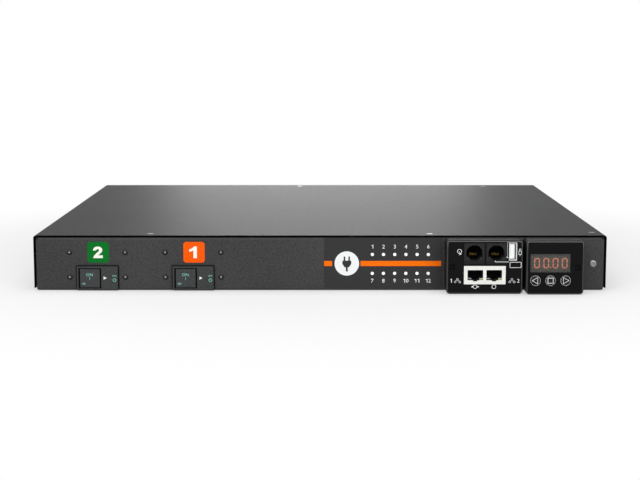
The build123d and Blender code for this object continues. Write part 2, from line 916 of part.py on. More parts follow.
def jack_pins(middles, count, z_top, drop, inset):
    """Spring wires that slope down from the roofs of jack mouths towards their back walls."""
    first = -(count - 1) / 2
    wires = [x + (first + index) * pin_pitch for x in middles for index in range(count)]
    near = jack_face + inset
    far = jack_face + jack_mouth_depth - pin_back_gap
    with BuildPart() as pins:
        for wire_x in wires:
            with BuildSketch(Plane.YZ.offset(wire_x - pin_width / 2)):
                with BuildLine():
                    Polyline(
                        (near, z_top),
                        (near, z_top - pin_thickness),
                        (far, z_top - pin_thickness - drop),
                        (far, z_top - drop),
                        close=True,
                    )
                make_face()
            extrude(amount=pin_width)
    return pins


# Sensor jacks: a keyed mouth with a round top, a step and a latch notch
arch_low = sensor_centre + sensor_mouth_rise
step_top = arch_low - sensor_mouth_middle
half_mouth = sensor_mouth_width / 2
for number, x in sensor_places.items():
    with BuildPart() as sensor_jack:
        with BuildSketch(upright(jack_face)):
            with Locations((x, sensor_centre)):
                Rectangle(sensor_width, sensor_height)
        extrude(amount=-jack_depth)
        chamfer(sensor_jack.faces().sort_by(Axis.Y)[-1].edges(), module_edge)
        with BuildSketch(upright(jack_face)):
            with BuildLine():
                Line((x - half_mouth, arch_low), (x + half_mouth, arch_low))
                ThreePointArc(
                    (x + half_mouth, arch_low),
                    (x, arch_low + sensor_mouth_arch),
                    (x - half_mouth, arch_low),
                )
            make_face()
            with Locations((x, arch_low)):
                Rectangle(sensor_mouth_width, sensor_mouth_middle, align=(Align.CENTER, Align.MAX))
            with Locations((x, step_top)):
                Rectangle(sensor_step_width, sensor_step_height, align=(Align.CENTER, Align.MAX))
            with Locations((x, step_top - sensor_step_height)):
                Rectangle(sensor_notch_width, sensor_notch_height, align=(Align.CENTER, Align.MAX))
        extrude(amount=-jack_mouth_depth, mode=Mode.SUBTRACT)
    keep(sensor_jack, f"sensor_jack_{number}")

sensor_contacts = jack_pins(
    sensor_places.values(),
    sensor_pin_count,
    arch_low + sensor_pin_start,
    sensor_pin_drop,
    sensor_pin_front,
)
keep(sensor_contacts, "sensor_contacts")

# Double network jack: two stepped mouths side by side, and pockets for four link lights
network_mouths = [network_centre_x - network_pitch / 2, network_centre_x + network_pitch / 2]
mouth_top_z = network_centre_z + network_height / 2 - network_mouth_top
mouth_low_z = mouth_top_z - network_mouth_height
light_z = mouth_low_z - network_notch_height / 2
with BuildPart() as network_jack:
    with BuildSketch(upright(jack_face)):
        with Locations((network_centre_x, network_centre_z)):
            Rectangle(network_width, network_height)
    extrude(amount=-jack_depth)
    chamfer(network_jack.faces().sort_by(Axis.Y)[-1].edges(), module_edge)
    with BuildSketch(upright(jack_face)):
        for x in network_mouths:
            with Locations((x, mouth_top_z)):
                Rectangle(network_mouth_width, network_mouth_height, align=(Align.CENTER, Align.MAX))
            with Locations((x, mouth_low_z)):
                Rectangle(network_notch_width, network_notch_height, align=(Align.CENTER, Align.MAX))
            with Locations((x, mouth_low_z - network_notch_height)):
                Rectangle(network_key_width, network_key_height, align=(Align.CENTER, Align.MAX))
    extrude(amount=-jack_mouth_depth, mode=Mode.SUBTRACT)
    with BuildSketch(upright(jack_face)):
        for x in network_mouths:
            with Locations((x, light_z)):
                with GridLocations(light_pitch, 0, 2, 1):
                    Rectangle(light_width, light_height)
    extrude(amount=-light_depth, mode=Mode.SUBTRACT)
keep(network_jack, "network_jack")

with BuildPart() as network_lights:
    with BuildSketch(upright(jack_face)):
        for x in network_mouths:
            with Locations((x, light_z)):
                with GridLocations(light_pitch, 0, 2, 1):
                    Rectangle(light_width, light_height)
    extrude(amount=-light_depth)
keep(network_lights, "network_lights")

network_contacts = jack_pins(
    network_mouths, network_pin_count, mouth_top_z, network_pin_drop, network_pin_front
)
keep(network_contacts, "network_contacts")

# Upright USB port: folded shell with its tongue
with BuildPart() as usb_shell:
    with BuildSketch(upright(jack_face)):
        with Locations((usb_x, usb_z)):
            Rectangle(usb_width, usb_height)
    extrude(amount=-jack_depth)
    fillet(usb_shell.edges().filter_by(Axis.Y), usb_wall)
    with BuildSketch(upright(jack_face)):
        with Locations((usb_x, usb_z)):
            Rectangle(usb_width - 2 * usb_wall, usb_height - 2 * usb_wall)
    extrude(amount=-usb_depth, mode=Mode.SUBTRACT)
keep(usb_shell, "usb_shell")

with BuildPart() as usb_tongue:
    tongue_x = usb_x - usb_width / 2 + usb_wall + usb_tongue_side + usb_tongue_width / 2
    with BuildSketch(upright(jack_face + usb_depth)):
        with Locations((tongue_x, usb_z)):
            Rectangle(usb_tongue_width, usb_tongue_height)
    extrude(amount=usb_depth - usb_tongue_recess)
    chamfer(usb_tongue.faces().sort_by(Axis.Y)[0].edges(), usb_tongue_side)
keep(usb_tongue, "usb_tongue")

# Display module: housing, label, glass, digits and board
display_shell = module_shell(display_left, display_right, display_reach)
with BuildPart() as display_housing:
    add(display_shell.part)
    with BuildSketch(upright(display_face)):
        display_cutouts(glass_fit, key_fit)
    extrude(amount=-module_wall, mode=Mode.SUBTRACT)
    with BuildSketch(upright(display_face)):
        with Locations(latch_places["display"]):
            Rectangle(latch_width, latch_height)
    extrude(amount=-latch_depth, mode=Mode.SUBTRACT)
keep(display_housing, "display_housing")

with BuildPart() as display_label:
    with BuildSketch(upright(display_face)):
        label_sketch(display_left, display_right)
    extrude(amount=film)
    with BuildSketch(upright(display_face)):
        display_cutouts(glass_fit, key_fit)
        with Locations(latch_places["display"]):
            Rectangle(latch_width, latch_height)
    extrude(amount=film, mode=Mode.SUBTRACT)
keep(display_label, "display_label")

with BuildPart() as display_glass:
    with BuildSketch(upright(display_face + module_wall)):
        with Locations((window_x, window_z)):
            Rectangle(glass_width, glass_height)
    extrude(amount=module_wall + film)
keep(display_glass, "display_glass")

with BuildPart() as digit_block:
    with BuildSketch(upright(display_face + module_wall)):
        with Locations((window_x, window_z)):
            Rectangle(glass_width, glass_height)
    extrude(amount=-digit_block_depth)
keep(digit_block, "digit_block")

with BuildPart() as display_board:
    with BuildSketch(upright(display_board_front)):
        with Locations(((display_left + display_right) / 2, (neck_low + neck_high) / 2)):
            Rectangle(display_board_width, display_board_height)
    extrude(amount=-board)
keep(display_board, "display_board")

# Round keys: cap through the label, flange behind the wall and a stem above its switch
switch_top = switch_height + switch_plunger_height
key_stem_length = digit_block_depth - key_flange - switch_top - key_travel - key_stop_gap
for side, x in key_places.items():
    with BuildPart() as key:
        with BuildSketch(upright(display_face + module_wall)):
            with Locations((x, key_z)):
                Circle(key_radius)
        extrude(amount=module_wall + film)
        chamfer(key.faces().sort_by(Axis.Y)[0].edges(), key_edge)
        with BuildSketch(upright(display_face + module_wall)):
            with Locations((x, key_z)):
                Circle(key_flange_radius)
        extrude(amount=-key_flange)
        with BuildSketch(upright(display_face + module_wall + key_flange)):
            with Locations((x, key_z)):
                Circle(key_stem_radius)
        extrude(amount=-key_stem_length)
    keep(key, f"key_{side}")

with BuildPart() as key_switches:
    with BuildSketch(upright(display_board_front)):
        for x in key_places.values():
            with Locations((x, key_z)):
                Rectangle(switch_size, switch_size)
    extrude(amount=switch_height)
    with BuildSketch(upright(display_board_front - switch_height)):
        for x in key_places.values():
            with Locations((x, key_z)):
                Circle(switch_plunger_radius)
    extrude(amount=switch_plunger_height)
keep(key_switches, "key_switches")


def outlet_places(bank_x):
    """Middles of a bank's six outlets, from left to right."""
    return [bank_x + (index - (outlet_count - 1) / 2) * outlet_pitch for index in range(outlet_count)]


def slot_places(outlet_x):
    """Middles of the two line slots and the earth slot of one outlet."""
    return [
        (outlet_x, bank_z + slot_offset),
        (outlet_x, bank_z - slot_offset),
        (outlet_x + earth_offset, bank_z),
    ]


def make_outlet_bank(bank_x):
    """A row of outlets in one moulding: keyed islands in channels, with blade slots opened from behind."""
    with BuildPart() as bank:
        with BuildSketch(upright(rear)):
            with Locations((bank_x, bank_z)):
                RectangleRounded(bank_width + 2 * bank_lip, bank_height + 2 * bank_lip, bank_corner)
        extrude(amount=-bank_lip_depth)
        with BuildSketch(upright(rear)):
            with Locations((bank_x, bank_z)):
                Rectangle(bank_width, bank_height)
        extrude(amount=bank_depth)
        chamfer(bank.faces().sort_by(Axis.Y)[-1].edges(), bank_lip_edge)
        with BuildSketch(upright(rear + bank_lip_depth)):
            for x in outlet_places(bank_x):
                with Locations((x, bank_z)):
                    Polygon(*outlet_outline(channel))
                    Polygon(*outlet_outline(0), mode=Mode.SUBTRACT)
        extrude(amount=channel_depth, mode=Mode.SUBTRACT)
        with BuildSketch(upright(rear + bank_lip_depth)):
            for x in outlet_places(bank_x):
                with Locations(*slot_places(x)):
                    Rectangle(slot_long, slot_short)
        extrude(amount=slot_mouth, mode=Mode.SUBTRACT)
        # Contact pockets, open at the back of the moulding
        with BuildSketch(upright(bank_back)):
            for x in outlet_places(bank_x):
                with Locations(*slot_places(x)):
                    Rectangle(slot_long + contact_room, slot_short + 2 * contact_room)
        extrude(amount=bank_back - rear - bank_lip_depth + slot_mouth, mode=Mode.SUBTRACT)
    return bank


def make_outlet_contacts(bank_x):
    """Folded spring contacts of a bank: two leaves joined by a bridge at the back of each pocket."""
    half_long = (slot_long + contact_room) / 2 - contact_fit
    half_short = slot_short / 2 + contact_room - contact_fit
    with BuildPart() as contacts:
        for outlet_x in outlet_places(bank_x):
            for x, z in slot_places(outlet_x):
                with BuildSketch(Plane.YZ.offset(x - half_long)):
                    with Locations((bank_back, z)):
                        Rectangle(contact_length, 2 * half_short, align=(Align.MIN, Align.CENTER))
                    with Locations((bank_back + contact_leaf, z)):
                        Rectangle(
                            contact_length,
                            2 * (half_short - contact_leaf),
                            align=(Align.MIN, Align.CENTER),
                            mode=Mode.SUBTRACT,
                        )
                extrude(amount=2 * half_long)
    return contacts


for number, x in bank_places.items():
    keep(make_outlet_bank(x), f"outlet_bank_{number}")
    keep(make_outlet_contacts(x), f"outlet_contacts_{number}")

# Busbars: neutral and earth bars along the back of each bank
with BuildPart() as busbars:
    bar_length = bank_width - 2 * bank_margin
    with BuildSketch(upright(bank_back)):
        for x in bank_places.values():
            for z in (bank_z - slot_offset, bank_z):
                with Locations((x, z)):
                    Rectangle(bar_length, bar_height)
    extrude(amount=bar_depth)
keep(busbars, "busbars")

# Cord gland: body with its hexagon and thread barrels, cap, seal and locknut
with BuildPart() as gland_body:
    with BuildSketch(upright(rear)):
        with Locations((gland_x, gland_z)):
            RegularPolygon(gland_hex / 2, 6, major_radius=False)
    extrude(amount=-gland_hex_depth)
    with BuildSketch(upright(rear - steel - gland_thread_in)):
        with Locations((gland_x, gland_z)):
            Circle(gland_thread_radius)
    extrude(amount=-steel - gland_thread_in - gland_hex_depth - gland_thread_out)
    with BuildSketch(upright(rear - steel - gland_thread_in)):
        with Locations((gland_x, gland_z)):
            Circle(gland_bore_radius)
    extrude(amount=-unit_height, mode=Mode.SUBTRACT)
keep(gland_body, "gland_body")

cap_start = rear + gland_hex_depth + gland_fit
cap_end = cap_start + gland_cap_length
cap_radius = gland_thread_radius + gland_fit + gland_wall
with BuildPart() as gland_cap:
    with BuildSketch(upright(cap_start)):
        with Locations((gland_x, gland_z)):
            Circle(cap_radius)
    extrude(amount=cap_start - cap_end)
    chamfer(gland_cap.faces().sort_by(Axis.Y)[-1].edges(), gland_dome)
    with BuildSketch(upright(cap_start)):
        with Locations((gland_x, gland_z)):
            RegularPolygon(cap_radius, 6, major_radius=False)
    extrude(amount=-gland_cap_hex_depth)
    with BuildSketch(upright(cap_start)):
        with Locations((gland_x, gland_z)):
            Circle(gland_thread_radius + gland_fit)
    extrude(amount=cap_start - cap_end + gland_wall, mode=Mode.SUBTRACT)
    with BuildSketch(upright(cap_start)):
        with Locations((gland_x, gland_z)):
            Circle(gland_mouth_radius)
    extrude(amount=cap_start - cap_end, mode=Mode.SUBTRACT)
keep(gland_cap, "gland_cap")

with BuildPart() as gland_seal:
    seal_start = cap_end - gland_wall - seal_length - gland_fit
    with BuildSketch(upright(seal_start)):
        with Locations((gland_x, gland_z)):
            Circle(gland_bore_radius - gland_fit)
            Circle(seal_bore_radius, mode=Mode.SUBTRACT)
    extrude(amount=-seal_length)
keep(gland_seal, "gland_seal")

with BuildPart() as gland_locknut:
    with BuildSketch(upright(rear - steel)):
        with Locations((gland_x, gland_z)):
            RegularPolygon(locknut_hex / 2, 6, major_radius=False)
            Circle(gland_thread_radius + gland_fit, mode=Mode.SUBTRACT)
    extrude(amount=locknut_depth)
keep(gland_locknut, "gland_locknut")

# Earth stud through the rear panel, with a groove before its free end, and its nut
with BuildPart() as earth_stud:
    for low, radius, reach in (
        (rear - steel - stud_in, stud_head_radius, stud_in),
        (rear - steel, stud_radius, steel + stud_nut_depth),
        (rear + stud_nut_depth, stud_groove_radius, stud_groove),
        (rear + stud_nut_depth + stud_groove, stud_radius, stud_out - stud_nut_depth - stud_groove),
    ):
        with BuildSketch(upright(low)):
            with Locations((stud_x, stud_z)):
                Circle(radius)
        extrude(amount=-reach)
keep(earth_stud, "earth_stud")

with BuildPart() as earth_nut:
    with BuildSketch(upright(rear)):
        with Locations((stud_x, stud_z)):
            RegularPolygon(stud_nut / 2, 6, major_radius=False)
            Circle(stud_radius + stud_fit, mode=Mode.SUBTRACT)
    extrude(amount=-stud_nut_depth)
keep(earth_nut, "earth_nut")

# Relay board on its standoffs
board_middle_x = (relay_board_left + relay_board_right) / 2
board_middle_y = (relay_board_front + relay_board_rear) / 2
board_length = relay_board_right - relay_board_left
board_width = relay_board_rear - relay_board_front
with BuildPart() as relay_board:
    with BuildSketch(Plane.XY.offset(board_floor)):
        with Locations((board_middle_x, board_middle_y)):
            Rectangle(board_length, board_width)
            with GridLocations((board_length - 2 * board_edge) / 2, board_width - 2 * board_edge, 3, 2):
                Circle(standoff_pin_radius + stud_fit, mode=Mode.SUBTRACT)
    extrude(amount=board)
keep(relay_board, "relay_board")

with BuildPart() as board_standoffs:
    with BuildSketch(Plane.XY.offset(board_floor)):
        with Locations((board_middle_x, board_middle_y)):
            with GridLocations((board_length - 2 * board_edge) / 2, board_width - 2 * board_edge, 3, 2):
                Circle(standoff_pin_radius)
    extrude(amount=board)
    for low, height in ((steel, standoff_height), (board_top, standoff_head)):
        with BuildSketch(Plane.XY.offset(low)):
            with Locations((board_middle_x, board_middle_y)):
                with GridLocations((board_length - 2 * board_edge) / 2, board_width - 2 * board_edge, 3, 2):
                    RegularPolygon(standoff_radius, 6, major_radius=False)
        extrude(amount=height)
keep(board_standoffs, "board_standoffs")

# Relays in line with the outlets
with BuildPart() as relays:
    relay_rear = relay_board_rear - board_edge - relay_rear_gap
    with BuildSketch(Plane.XY.offset(board_top)):
        for bank_x in bank_places.values():
            for x in outlet_places(bank_x):
                with Locations((x, relay_rear)):
                    Rectangle(relay_width, relay_depth, align=(Align.CENTER, Align.MAX))
    extrude(amount=relay_height)
keep(relays, "relays")

# Ring current sensors that stand on the relay board
with BuildPart() as current_sensors:
    with BuildSketch(upright(sensor_ring_y)):
        for x in sensor_ring_places:
            with Locations((x, board_top + sensor_ring_radius)):
                Circle(sensor_ring_radius)
            with Locations((x, board_top)):
                Rectangle(
                    sensor_ring_radius,
                    sensor_ring_radius - sensor_ring_bore,
                    align=(Align.CENTER, Align.MIN),
                )
            with Locations((x, board_top + sensor_ring_radius)):
                Circle(sensor_ring_bore, mode=Mode.SUBTRACT)
    extrude(amount=-sensor_ring_depth)
keep(current_sensors, "current_sensors")

# Potted supply module on the relay board
with BuildPart() as power_module:
    with BuildSketch(Plane.XY.offset(board_top)):
        with Locations((supply_x, supply_y)):
            Rectangle(supply_width, supply_depth)
    extrude(amount=supply_height)
    chamfer(power_module.faces().sort_by(Axis.Z)[-1].edges(), supply_edge)
keep(power_module, "power_module")

# Input terminal block on the floor behind the gland, with a well over each pole
with BuildPart() as terminal_block:
    with Locations((gland_x, terminal_block_y, steel)):
        Box(
            terminal_block_width,
            terminal_block_depth,
            terminal_block_height,
            align=(Align.CENTER, Align.CENTER, Align.MIN),
        )
    with BuildSketch(Plane.XY.offset(steel + terminal_block_height)):
        with Locations((gland_x, terminal_block_y)):
            with GridLocations(terminal_pole_pitch, 0, terminal_poles, 1):
                Circle(terminal_well / 2)
    extrude(amount=-terminal_well, mode=Mode.SUBTRACT)
    with BuildSketch(upright(terminal_block_y + terminal_block_depth / 2)):
        with Locations((gland_x, steel + terminal_block_height / 2)):
            with GridLocations(terminal_pole_pitch, 0, terminal_poles, 1):
                Rectangle(terminal_well, terminal_well)
    extrude(amount=terminal_well, mode=Mode.SUBTRACT)
keep(terminal_block, "terminal_block")

# Flat ribbon cable from the communication board along the floor and up onto the relay board
with BuildPart() as ribbon_cable:
    ribbon_x = (comm_left + comm_right) / 2
    ribbon_start = comm_board_front + board
    ribbon_drop = panel_back + cradle_depth + ribbon_bend
    ribbon_floor = steel + ribbon_thickness
    ribbon_rise = relay_board_front - 2 * ribbon_bend
    ribbon_end = relay_board_front + board_edge
    ribbon_hop = board_top + 2 * ribbon_bend
    with BuildSketch(Plane.YZ.offset(ribbon_x - ribbon_width / 2)):
        with BuildLine():
            FilletPolyline(
                (ribbon_start, network_centre_z),
                (ribbon_drop, network_centre_z),
                (ribbon_drop, ribbon_floor),
                (ribbon_rise, ribbon_floor),
                (ribbon_rise, ribbon_hop),
                (ribbon_end, ribbon_hop),
                (ribbon_end, board_top),
                radius=ribbon_radius,
            )
        trace(line_width=ribbon_thickness)
    extrude(amount=ribbon_width)
keep(ribbon_cable, "ribbon_cable")
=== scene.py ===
import json
import math

import bmesh
import bpy
from mathutils import Matrix, Vector


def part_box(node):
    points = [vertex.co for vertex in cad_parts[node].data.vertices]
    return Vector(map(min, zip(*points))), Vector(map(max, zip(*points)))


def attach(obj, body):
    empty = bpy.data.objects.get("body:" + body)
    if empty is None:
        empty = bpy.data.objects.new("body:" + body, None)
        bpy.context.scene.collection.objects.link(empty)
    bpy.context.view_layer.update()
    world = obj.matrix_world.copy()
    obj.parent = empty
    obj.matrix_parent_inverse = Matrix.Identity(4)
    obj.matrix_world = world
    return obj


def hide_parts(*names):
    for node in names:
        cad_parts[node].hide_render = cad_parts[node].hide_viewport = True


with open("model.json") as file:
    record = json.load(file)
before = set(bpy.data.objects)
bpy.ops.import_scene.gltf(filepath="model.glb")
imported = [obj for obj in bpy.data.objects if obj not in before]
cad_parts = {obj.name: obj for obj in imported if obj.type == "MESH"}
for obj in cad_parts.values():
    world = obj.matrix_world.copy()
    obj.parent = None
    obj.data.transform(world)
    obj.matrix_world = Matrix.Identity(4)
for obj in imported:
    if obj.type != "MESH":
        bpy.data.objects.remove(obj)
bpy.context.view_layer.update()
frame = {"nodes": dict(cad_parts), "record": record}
nodes = frame["nodes"]
scene = bpy.context.scene

MM = 0.001

# Camera and picture
IMAGE_WIDTH = 640
FOCAL_PIXELS = 1455.6
SENSOR = 36.0
CAMERA_PLACE = (0.0, -1.2962, 0.1942)
AIM_HEIGHT = 0.0392

# Shares of a figure's height: extra weight of its strokes, and the step from one digit to the next
LETTER_WEIGHT = 0.01
NUMERAL_PITCH = 0.76

# Print on the front, in millimetres
INK = 0.05
NUMERAL_HEIGHT = 3.0
LAMP_PITCH = 8.6
LAMP_COUNT = 6
UPPER_NUMERALS = 34.1
LOWER_NUMERALS = 7.6
STRIPE_LOW = 19.0
STRIPE_HIGH = 23.0
STRIPE_SPANS = [(3.2, 9.3), (31.2, 93.1)]
ROUNDEL = (20.6, 21.0)
ROUNDEL_RADIUS = 9.4
PLUG_BODY = [(-3.4, 2.2), (3.4, 2.2), (3.4, -0.4), (1.6, -3.0), (0.7, -3.0), (0.7, -6.2), (-0.7, -6.2),
             (-0.7, -3.0), (-1.6, -3.0), (-3.4, -0.4)]
PLUG_PRONGS = [(-2.4, 2.2, -1.2, 5.4), (1.2, 2.2, 2.4, 5.4)]

# Rings and signs of the keys, in millimetres, and the share of a sign's size that its inside takes
RING_OUTER = 3.78
RING_INNER = 3.63
SIGN_SHARE = 0.81
SQUARE_REACH = 2.2
TRIANGLE_SHIFT = 0.29
TRIANGLE_BACK = 1.85
TRIANGLE_TIP = 2.75
TRIANGLE_HALF = 2.65

# Breakers: X of each middle, and marks from that middle and from the underside, in millimetres
BREAKERS = {1: -97.5, 2: -171.1}
ON_WORD = (-6.0, 12.5)
ON_HEIGHT = 2.2
ON_MARKS = [(-6.0, 8.6, -5.65, 10.7), (-11.7, 5.0, -9.1, 5.35), (-11.7, 5.75, -9.1, 6.1)]
ARROW = [(4.9, 8.8), (7.3, 10.0), (4.9, 11.2)]
OFF_WORD = (13.2, 11.6)
OFF_HEIGHT = 1.4
OFF_RING = (13.2, 8.4, 1.35, 0.95)

# Painted shade lines round the breakers, in millimetres; the window is from the bezel's left edge and the
# underside
SHADE_BAND_OUT = 0.45
SHADE_BAND_SIDE = 0.2
SHADE_BAND_LOW = 2.4
SHADE_BAND_THICKNESS = 0.2
WINDOW = (2.25, 2.2, 19.15, 17.5)
WINDOW_SHADE_WIDTH = 0.25
PADDLE_SHADE_WIDTH = 0.45

# Print of the communication module, in millimetres
PORT_ROW = 10.5
PORT_NUMERALS = {"1": 99.3, "2": 150.3}
PORT_NUMERAL_HEIGHT = 2.9
NETWORK_SIGNS = (104.2, 145.5)
RING_ROW = 5.8
CHAIN_SIGN_X = 117.6
RING_SIGN_X = 131.9
SENSOR_SIGN = (105.5, 32.9)
PORT_SIGN = (151.3, 32.4)
PORT_LINES = [(141.65, 28.9, 141.8, 39.8), (141.8, 39.65, 142.9, 39.8)]
PORT_DOT = (141.75, 28.4, 0.5)
SERIAL_FRAME = (143.6, 20.3, 152.5, 24.8)
FRAME_LINE = 0.35
CALLOUT_ON_JACK = [(132.4, 24.7, 141.1, 25.05), (132.4, 25.05, 132.75, 25.8)]
CALLOUT_ON_LABEL = (141.1, 24.7, 143.0, 25.05)

# Module labels, and the painted highlight line round them, in millimetres
LABEL_CORNER = 1.2
RIM_HIGHLIGHT_WIDTH = 0.5

# Lit digits of the display, in millimetres
DIGIT_FIRST = 164.2
DIGIT_PITCH = 7.0
DIGIT_WIDTH = 4.5
DIGIT_LOW = 20.0
DIGIT_HIGH = 28.0
DIGIT_COUNT = 4
SEGMENT = 1.0
SEGMENT_GAP = 0.12
POINT_RADIUS = 0.45

# Fasteners, in millimetres; each pair is a radius and a place on the axis, from the front panel
RIVET_SHANK = 1.3
RIVET_TAIL = 1.8
RIVET_TAIL_DEPTH = 0.8
RIVET_DOME = [(2.1, 0), (2.1, -0.2), (2.02, -0.36), (1.8, -0.56), (1.5, -0.73), (1.15, -0.84), (0.95, -0.86),
              (0.9, -0.8), (0.9, -0.45), (0, -0.45)]
RIVET_PIN = [(0.72, -0.45), (0.72, -0.72), (0.6, -0.86), (0.3, -0.9), (0, -0.92)]
SIDE_SCREW_SHANK = 1.5
SIDE_SCREW_DOME = [(2.8, 0), (2.8, -0.55), (2.7, -0.85), (2.4, -1.15), (1.9, -1.38), (1.35, -1.48),
                   (1.25, -1.4)]
SIDE_SCREW_SOCKET = [(1.26, -1.44), (1.05, -1.34), (1.05, -1.0), (0, -0.95)]
COVER_SCREW_TAPER = 1.2
COVER_SCREW_EDGE = 0.12
COVER_SCREW_RECESS = 0.6
COVER_SCREW_FLOOR = 0.1
CROSS_REACH = 1.45
CROSS_WIDTH = 0.55
STUD_HEAD = 4.5
STUD_HEAD_DEPTH = 3
STUD_NECK = 2.2
STUD_NECK_PAST_NUT = 0.6
STUD_TIP = 0.5
THREAD_RADIUS = 2.5
THREAD_DEPTH = 0.35
THREAD_PITCH = 0.8

# Soft boxes: name, then place, aim, width and height in metres, then radiance
SOFT_BOXES = [
    ("key", (-0.8, -1.6, 1.1), (0, -0.1, 0), 1.4, 1.0, 4.0),
    ("fill", (0.9, -1.6, 0.9), (0, -0.1, 0), 1.2, 1.0, 3.0),
    ("top", (0.0, 0.0, 1.5), (0, 0, 0), 1.6, 1.2, 2.2),
    ("back", (0.0, 1.6, 0.22), (0, 0, 0.04), 0.6, 0.34, 7.0),
]
WORLD_LEVEL = 0.1

# Floor: reach and drop in metres, its grey, and how it turns white from a near to a far distance
FLOOR_REACH = 30.0
FLOOR_DROP = 0.0002
FLOOR_GREY = 0.9
FLOOR_NEAR = 0.2
FLOOR_FAR = 0.5
FLOOR_NEAR_WHITE = 0.4


def tone(red, green, blue):
    """A screen colour, each channel from 0 to 255, as linear light with alpha."""
    def linear(value):
        share = value / 255
        return share / 12.92 if share <= 0.04045 else ((share + 0.055) / 1.055) ** 2.4
    return (linear(red), linear(green), linear(blue), 1.0)


class Finish:
    """A material in the making, with short ways to add and join its nodes."""

    def __init__(self, name, roughness=0.5, metallic=0.0, specular=0.5):
        self.material = bpy.data.materials.new(name)
        self.material.use_nodes = True
        self.tree = self.material.node_tree
        self.shader = self.tree.nodes["Principled BSDF"]
        self.shader.inputs["Roughness"].default_value = roughness
        self.shader.inputs["Metallic"].default_value = metallic
        self.shader.inputs["Specular IOR Level"].default_value = specular
        coordinates = self.tree.nodes.new("ShaderNodeTexCoord")
        self.place = coordinates.outputs["Object"]
        self.normal = coordinates.outputs["Normal"]

    def add(self, kind, inputs=None, **settings):
        """A node with its settings, and its inputs as numbers or as other nodes' outputs."""
        node = self.tree.nodes.new("ShaderNode" + kind)
        for key, value in settings.items():
            setattr(node, key, value)
        for key, value in (inputs or {}).items():
            if isinstance(value, bpy.types.NodeSocket):
                self.tree.links.new(value, node.inputs[key])
            else:
                node.inputs[key].default_value = value
        return node

    def noise(self, size_mm, detail=2.0, stretch=None):
        """Noise whose features are about size_mm across, stretched along an axis if asked."""
        place = self.place
        if stretch:
            place = self.add("Mapping", {"Vector": place, "Scale": stretch}).outputs["Vector"]
        scale = 1000.0 / size_mm
        return self.add("TexNoise", {"Vector": place, "Scale": scale, "Detail": detail}).outputs["Fac"]

    def cells(self, size_mm):
        scale = 1000.0 / size_mm
        return self.add("TexVoronoi", {"Vector": self.place, "Scale": scale}).outputs["Color"]

    def along(self, axis):
        """Place along an axis, in metres."""
        return self.add("SeparateXYZ", {"Vector": self.place}).outputs[axis]

    def facing(self, axis):
        return self.add("SeparateXYZ", {"Vector": self.normal}).outputs[axis]

    def math(self, operation, first, second=0.0):
        return self.add("Math", {0: first, 1: second}, operation=operation).outputs[0]

    def ramp(self, value, low, high, start=0.0, end=1.0):
        """Colour from low to high as a value goes from start to end."""
        node = self.add("ValToRGB", {"Fac": value})
        for element, place, colour in zip(node.color_ramp.elements, (start, end), (low, high)):
            element.position = place
            element.color = colour
        return node.outputs["Color"]

    def blend(self, noise, low, high):
        """Colour from low to high over the middle of a noise, where most of it lies."""
        return self.ramp(noise, low, high, 0.3, 0.7)

    def span(self, value, low, high):
        """A 0 to 1 value spread from low to high."""
        inputs = {"Value": value, "To Min": low, "To Max": high}
        return self.add("MapRange", inputs).outputs["Result"]

    def mix(self, share, first, second):
        """Colour between first and second."""
        return self.add("Mix", {0: share, 6: first, 7: second}, data_type="RGBA").outputs[2]

    def bump(self, height, strength, distance_mm, base=None):
        inputs = {"Height": height, "Strength": strength, "Distance": distance_mm * MM}
        if base is not None:
            inputs["Normal"] = base
        return self.add("Bump", inputs).outputs["Normal"]

    def use(self, socket, value):
        """Feeds a node's output into one of the shader's inputs."""
        self.tree.links.new(value, self.shader.inputs[socket])


def speckled(finish, dark, light, grain_mm, drift_mm=60.0):
    """Fine grain between two tones, with a slow drift of shade."""
    grain = finish.noise(grain_mm, 3.0)
    drift = finish.noise(drift_mm, 1.0)
    level = finish.math("ADD", finish.math("MULTIPLY", grain, 0.8), finish.math("MULTIPLY", drift, 0.2))
    return finish.blend(level, dark, light), grain


def powder_coat(name, dark, light, specular=0.3, paint_edge_shade=False):
    """Textured black powder coat; if asked, with painted shade, near black, on the edges that face the front
    and back.
    """
    finish = Finish(name, 0.5, specular=specular)
    colour, grain = speckled(finish, dark, light, 1.1)
    roughness = finish.span(finish.noise(0.8), 0.42, 0.6)
    if paint_edge_shade:
        # Painted shade: faces that look straight to the front or back, such as the cut edges, turn near
        # black and fully rough.
        edge = finish.math("GREATER_THAN", finish.math("ABSOLUTE", finish.facing("Y")), 0.9)
        colour = finish.mix(edge, colour, tone(1, 1, 1))
        roughness = finish.math("MAXIMUM", roughness, edge)
    finish.use("Base Color", colour)
    finish.use("Roughness", roughness)
    orange_peel = finish.bump(finish.noise(1.6, 1.0), 0.15, 0.1)
    finish.use("Normal", finish.bump(grain, 0.5, 0.06, orange_peel))
    return finish.material


# Painted shade for the insides of mouths, windows and pockets.
DEEP_SHADE = tone(3, 3, 4)
LOW_BLACK = tone(12, 12, 13)
# Painted shade for the tops and sides of the module housings.
TOP_SHADE = tone(25, 25, 26)
SIDE_SHADE = (tone(9, 9, 10), tone(20, 20, 21))
STEEP = 0.6


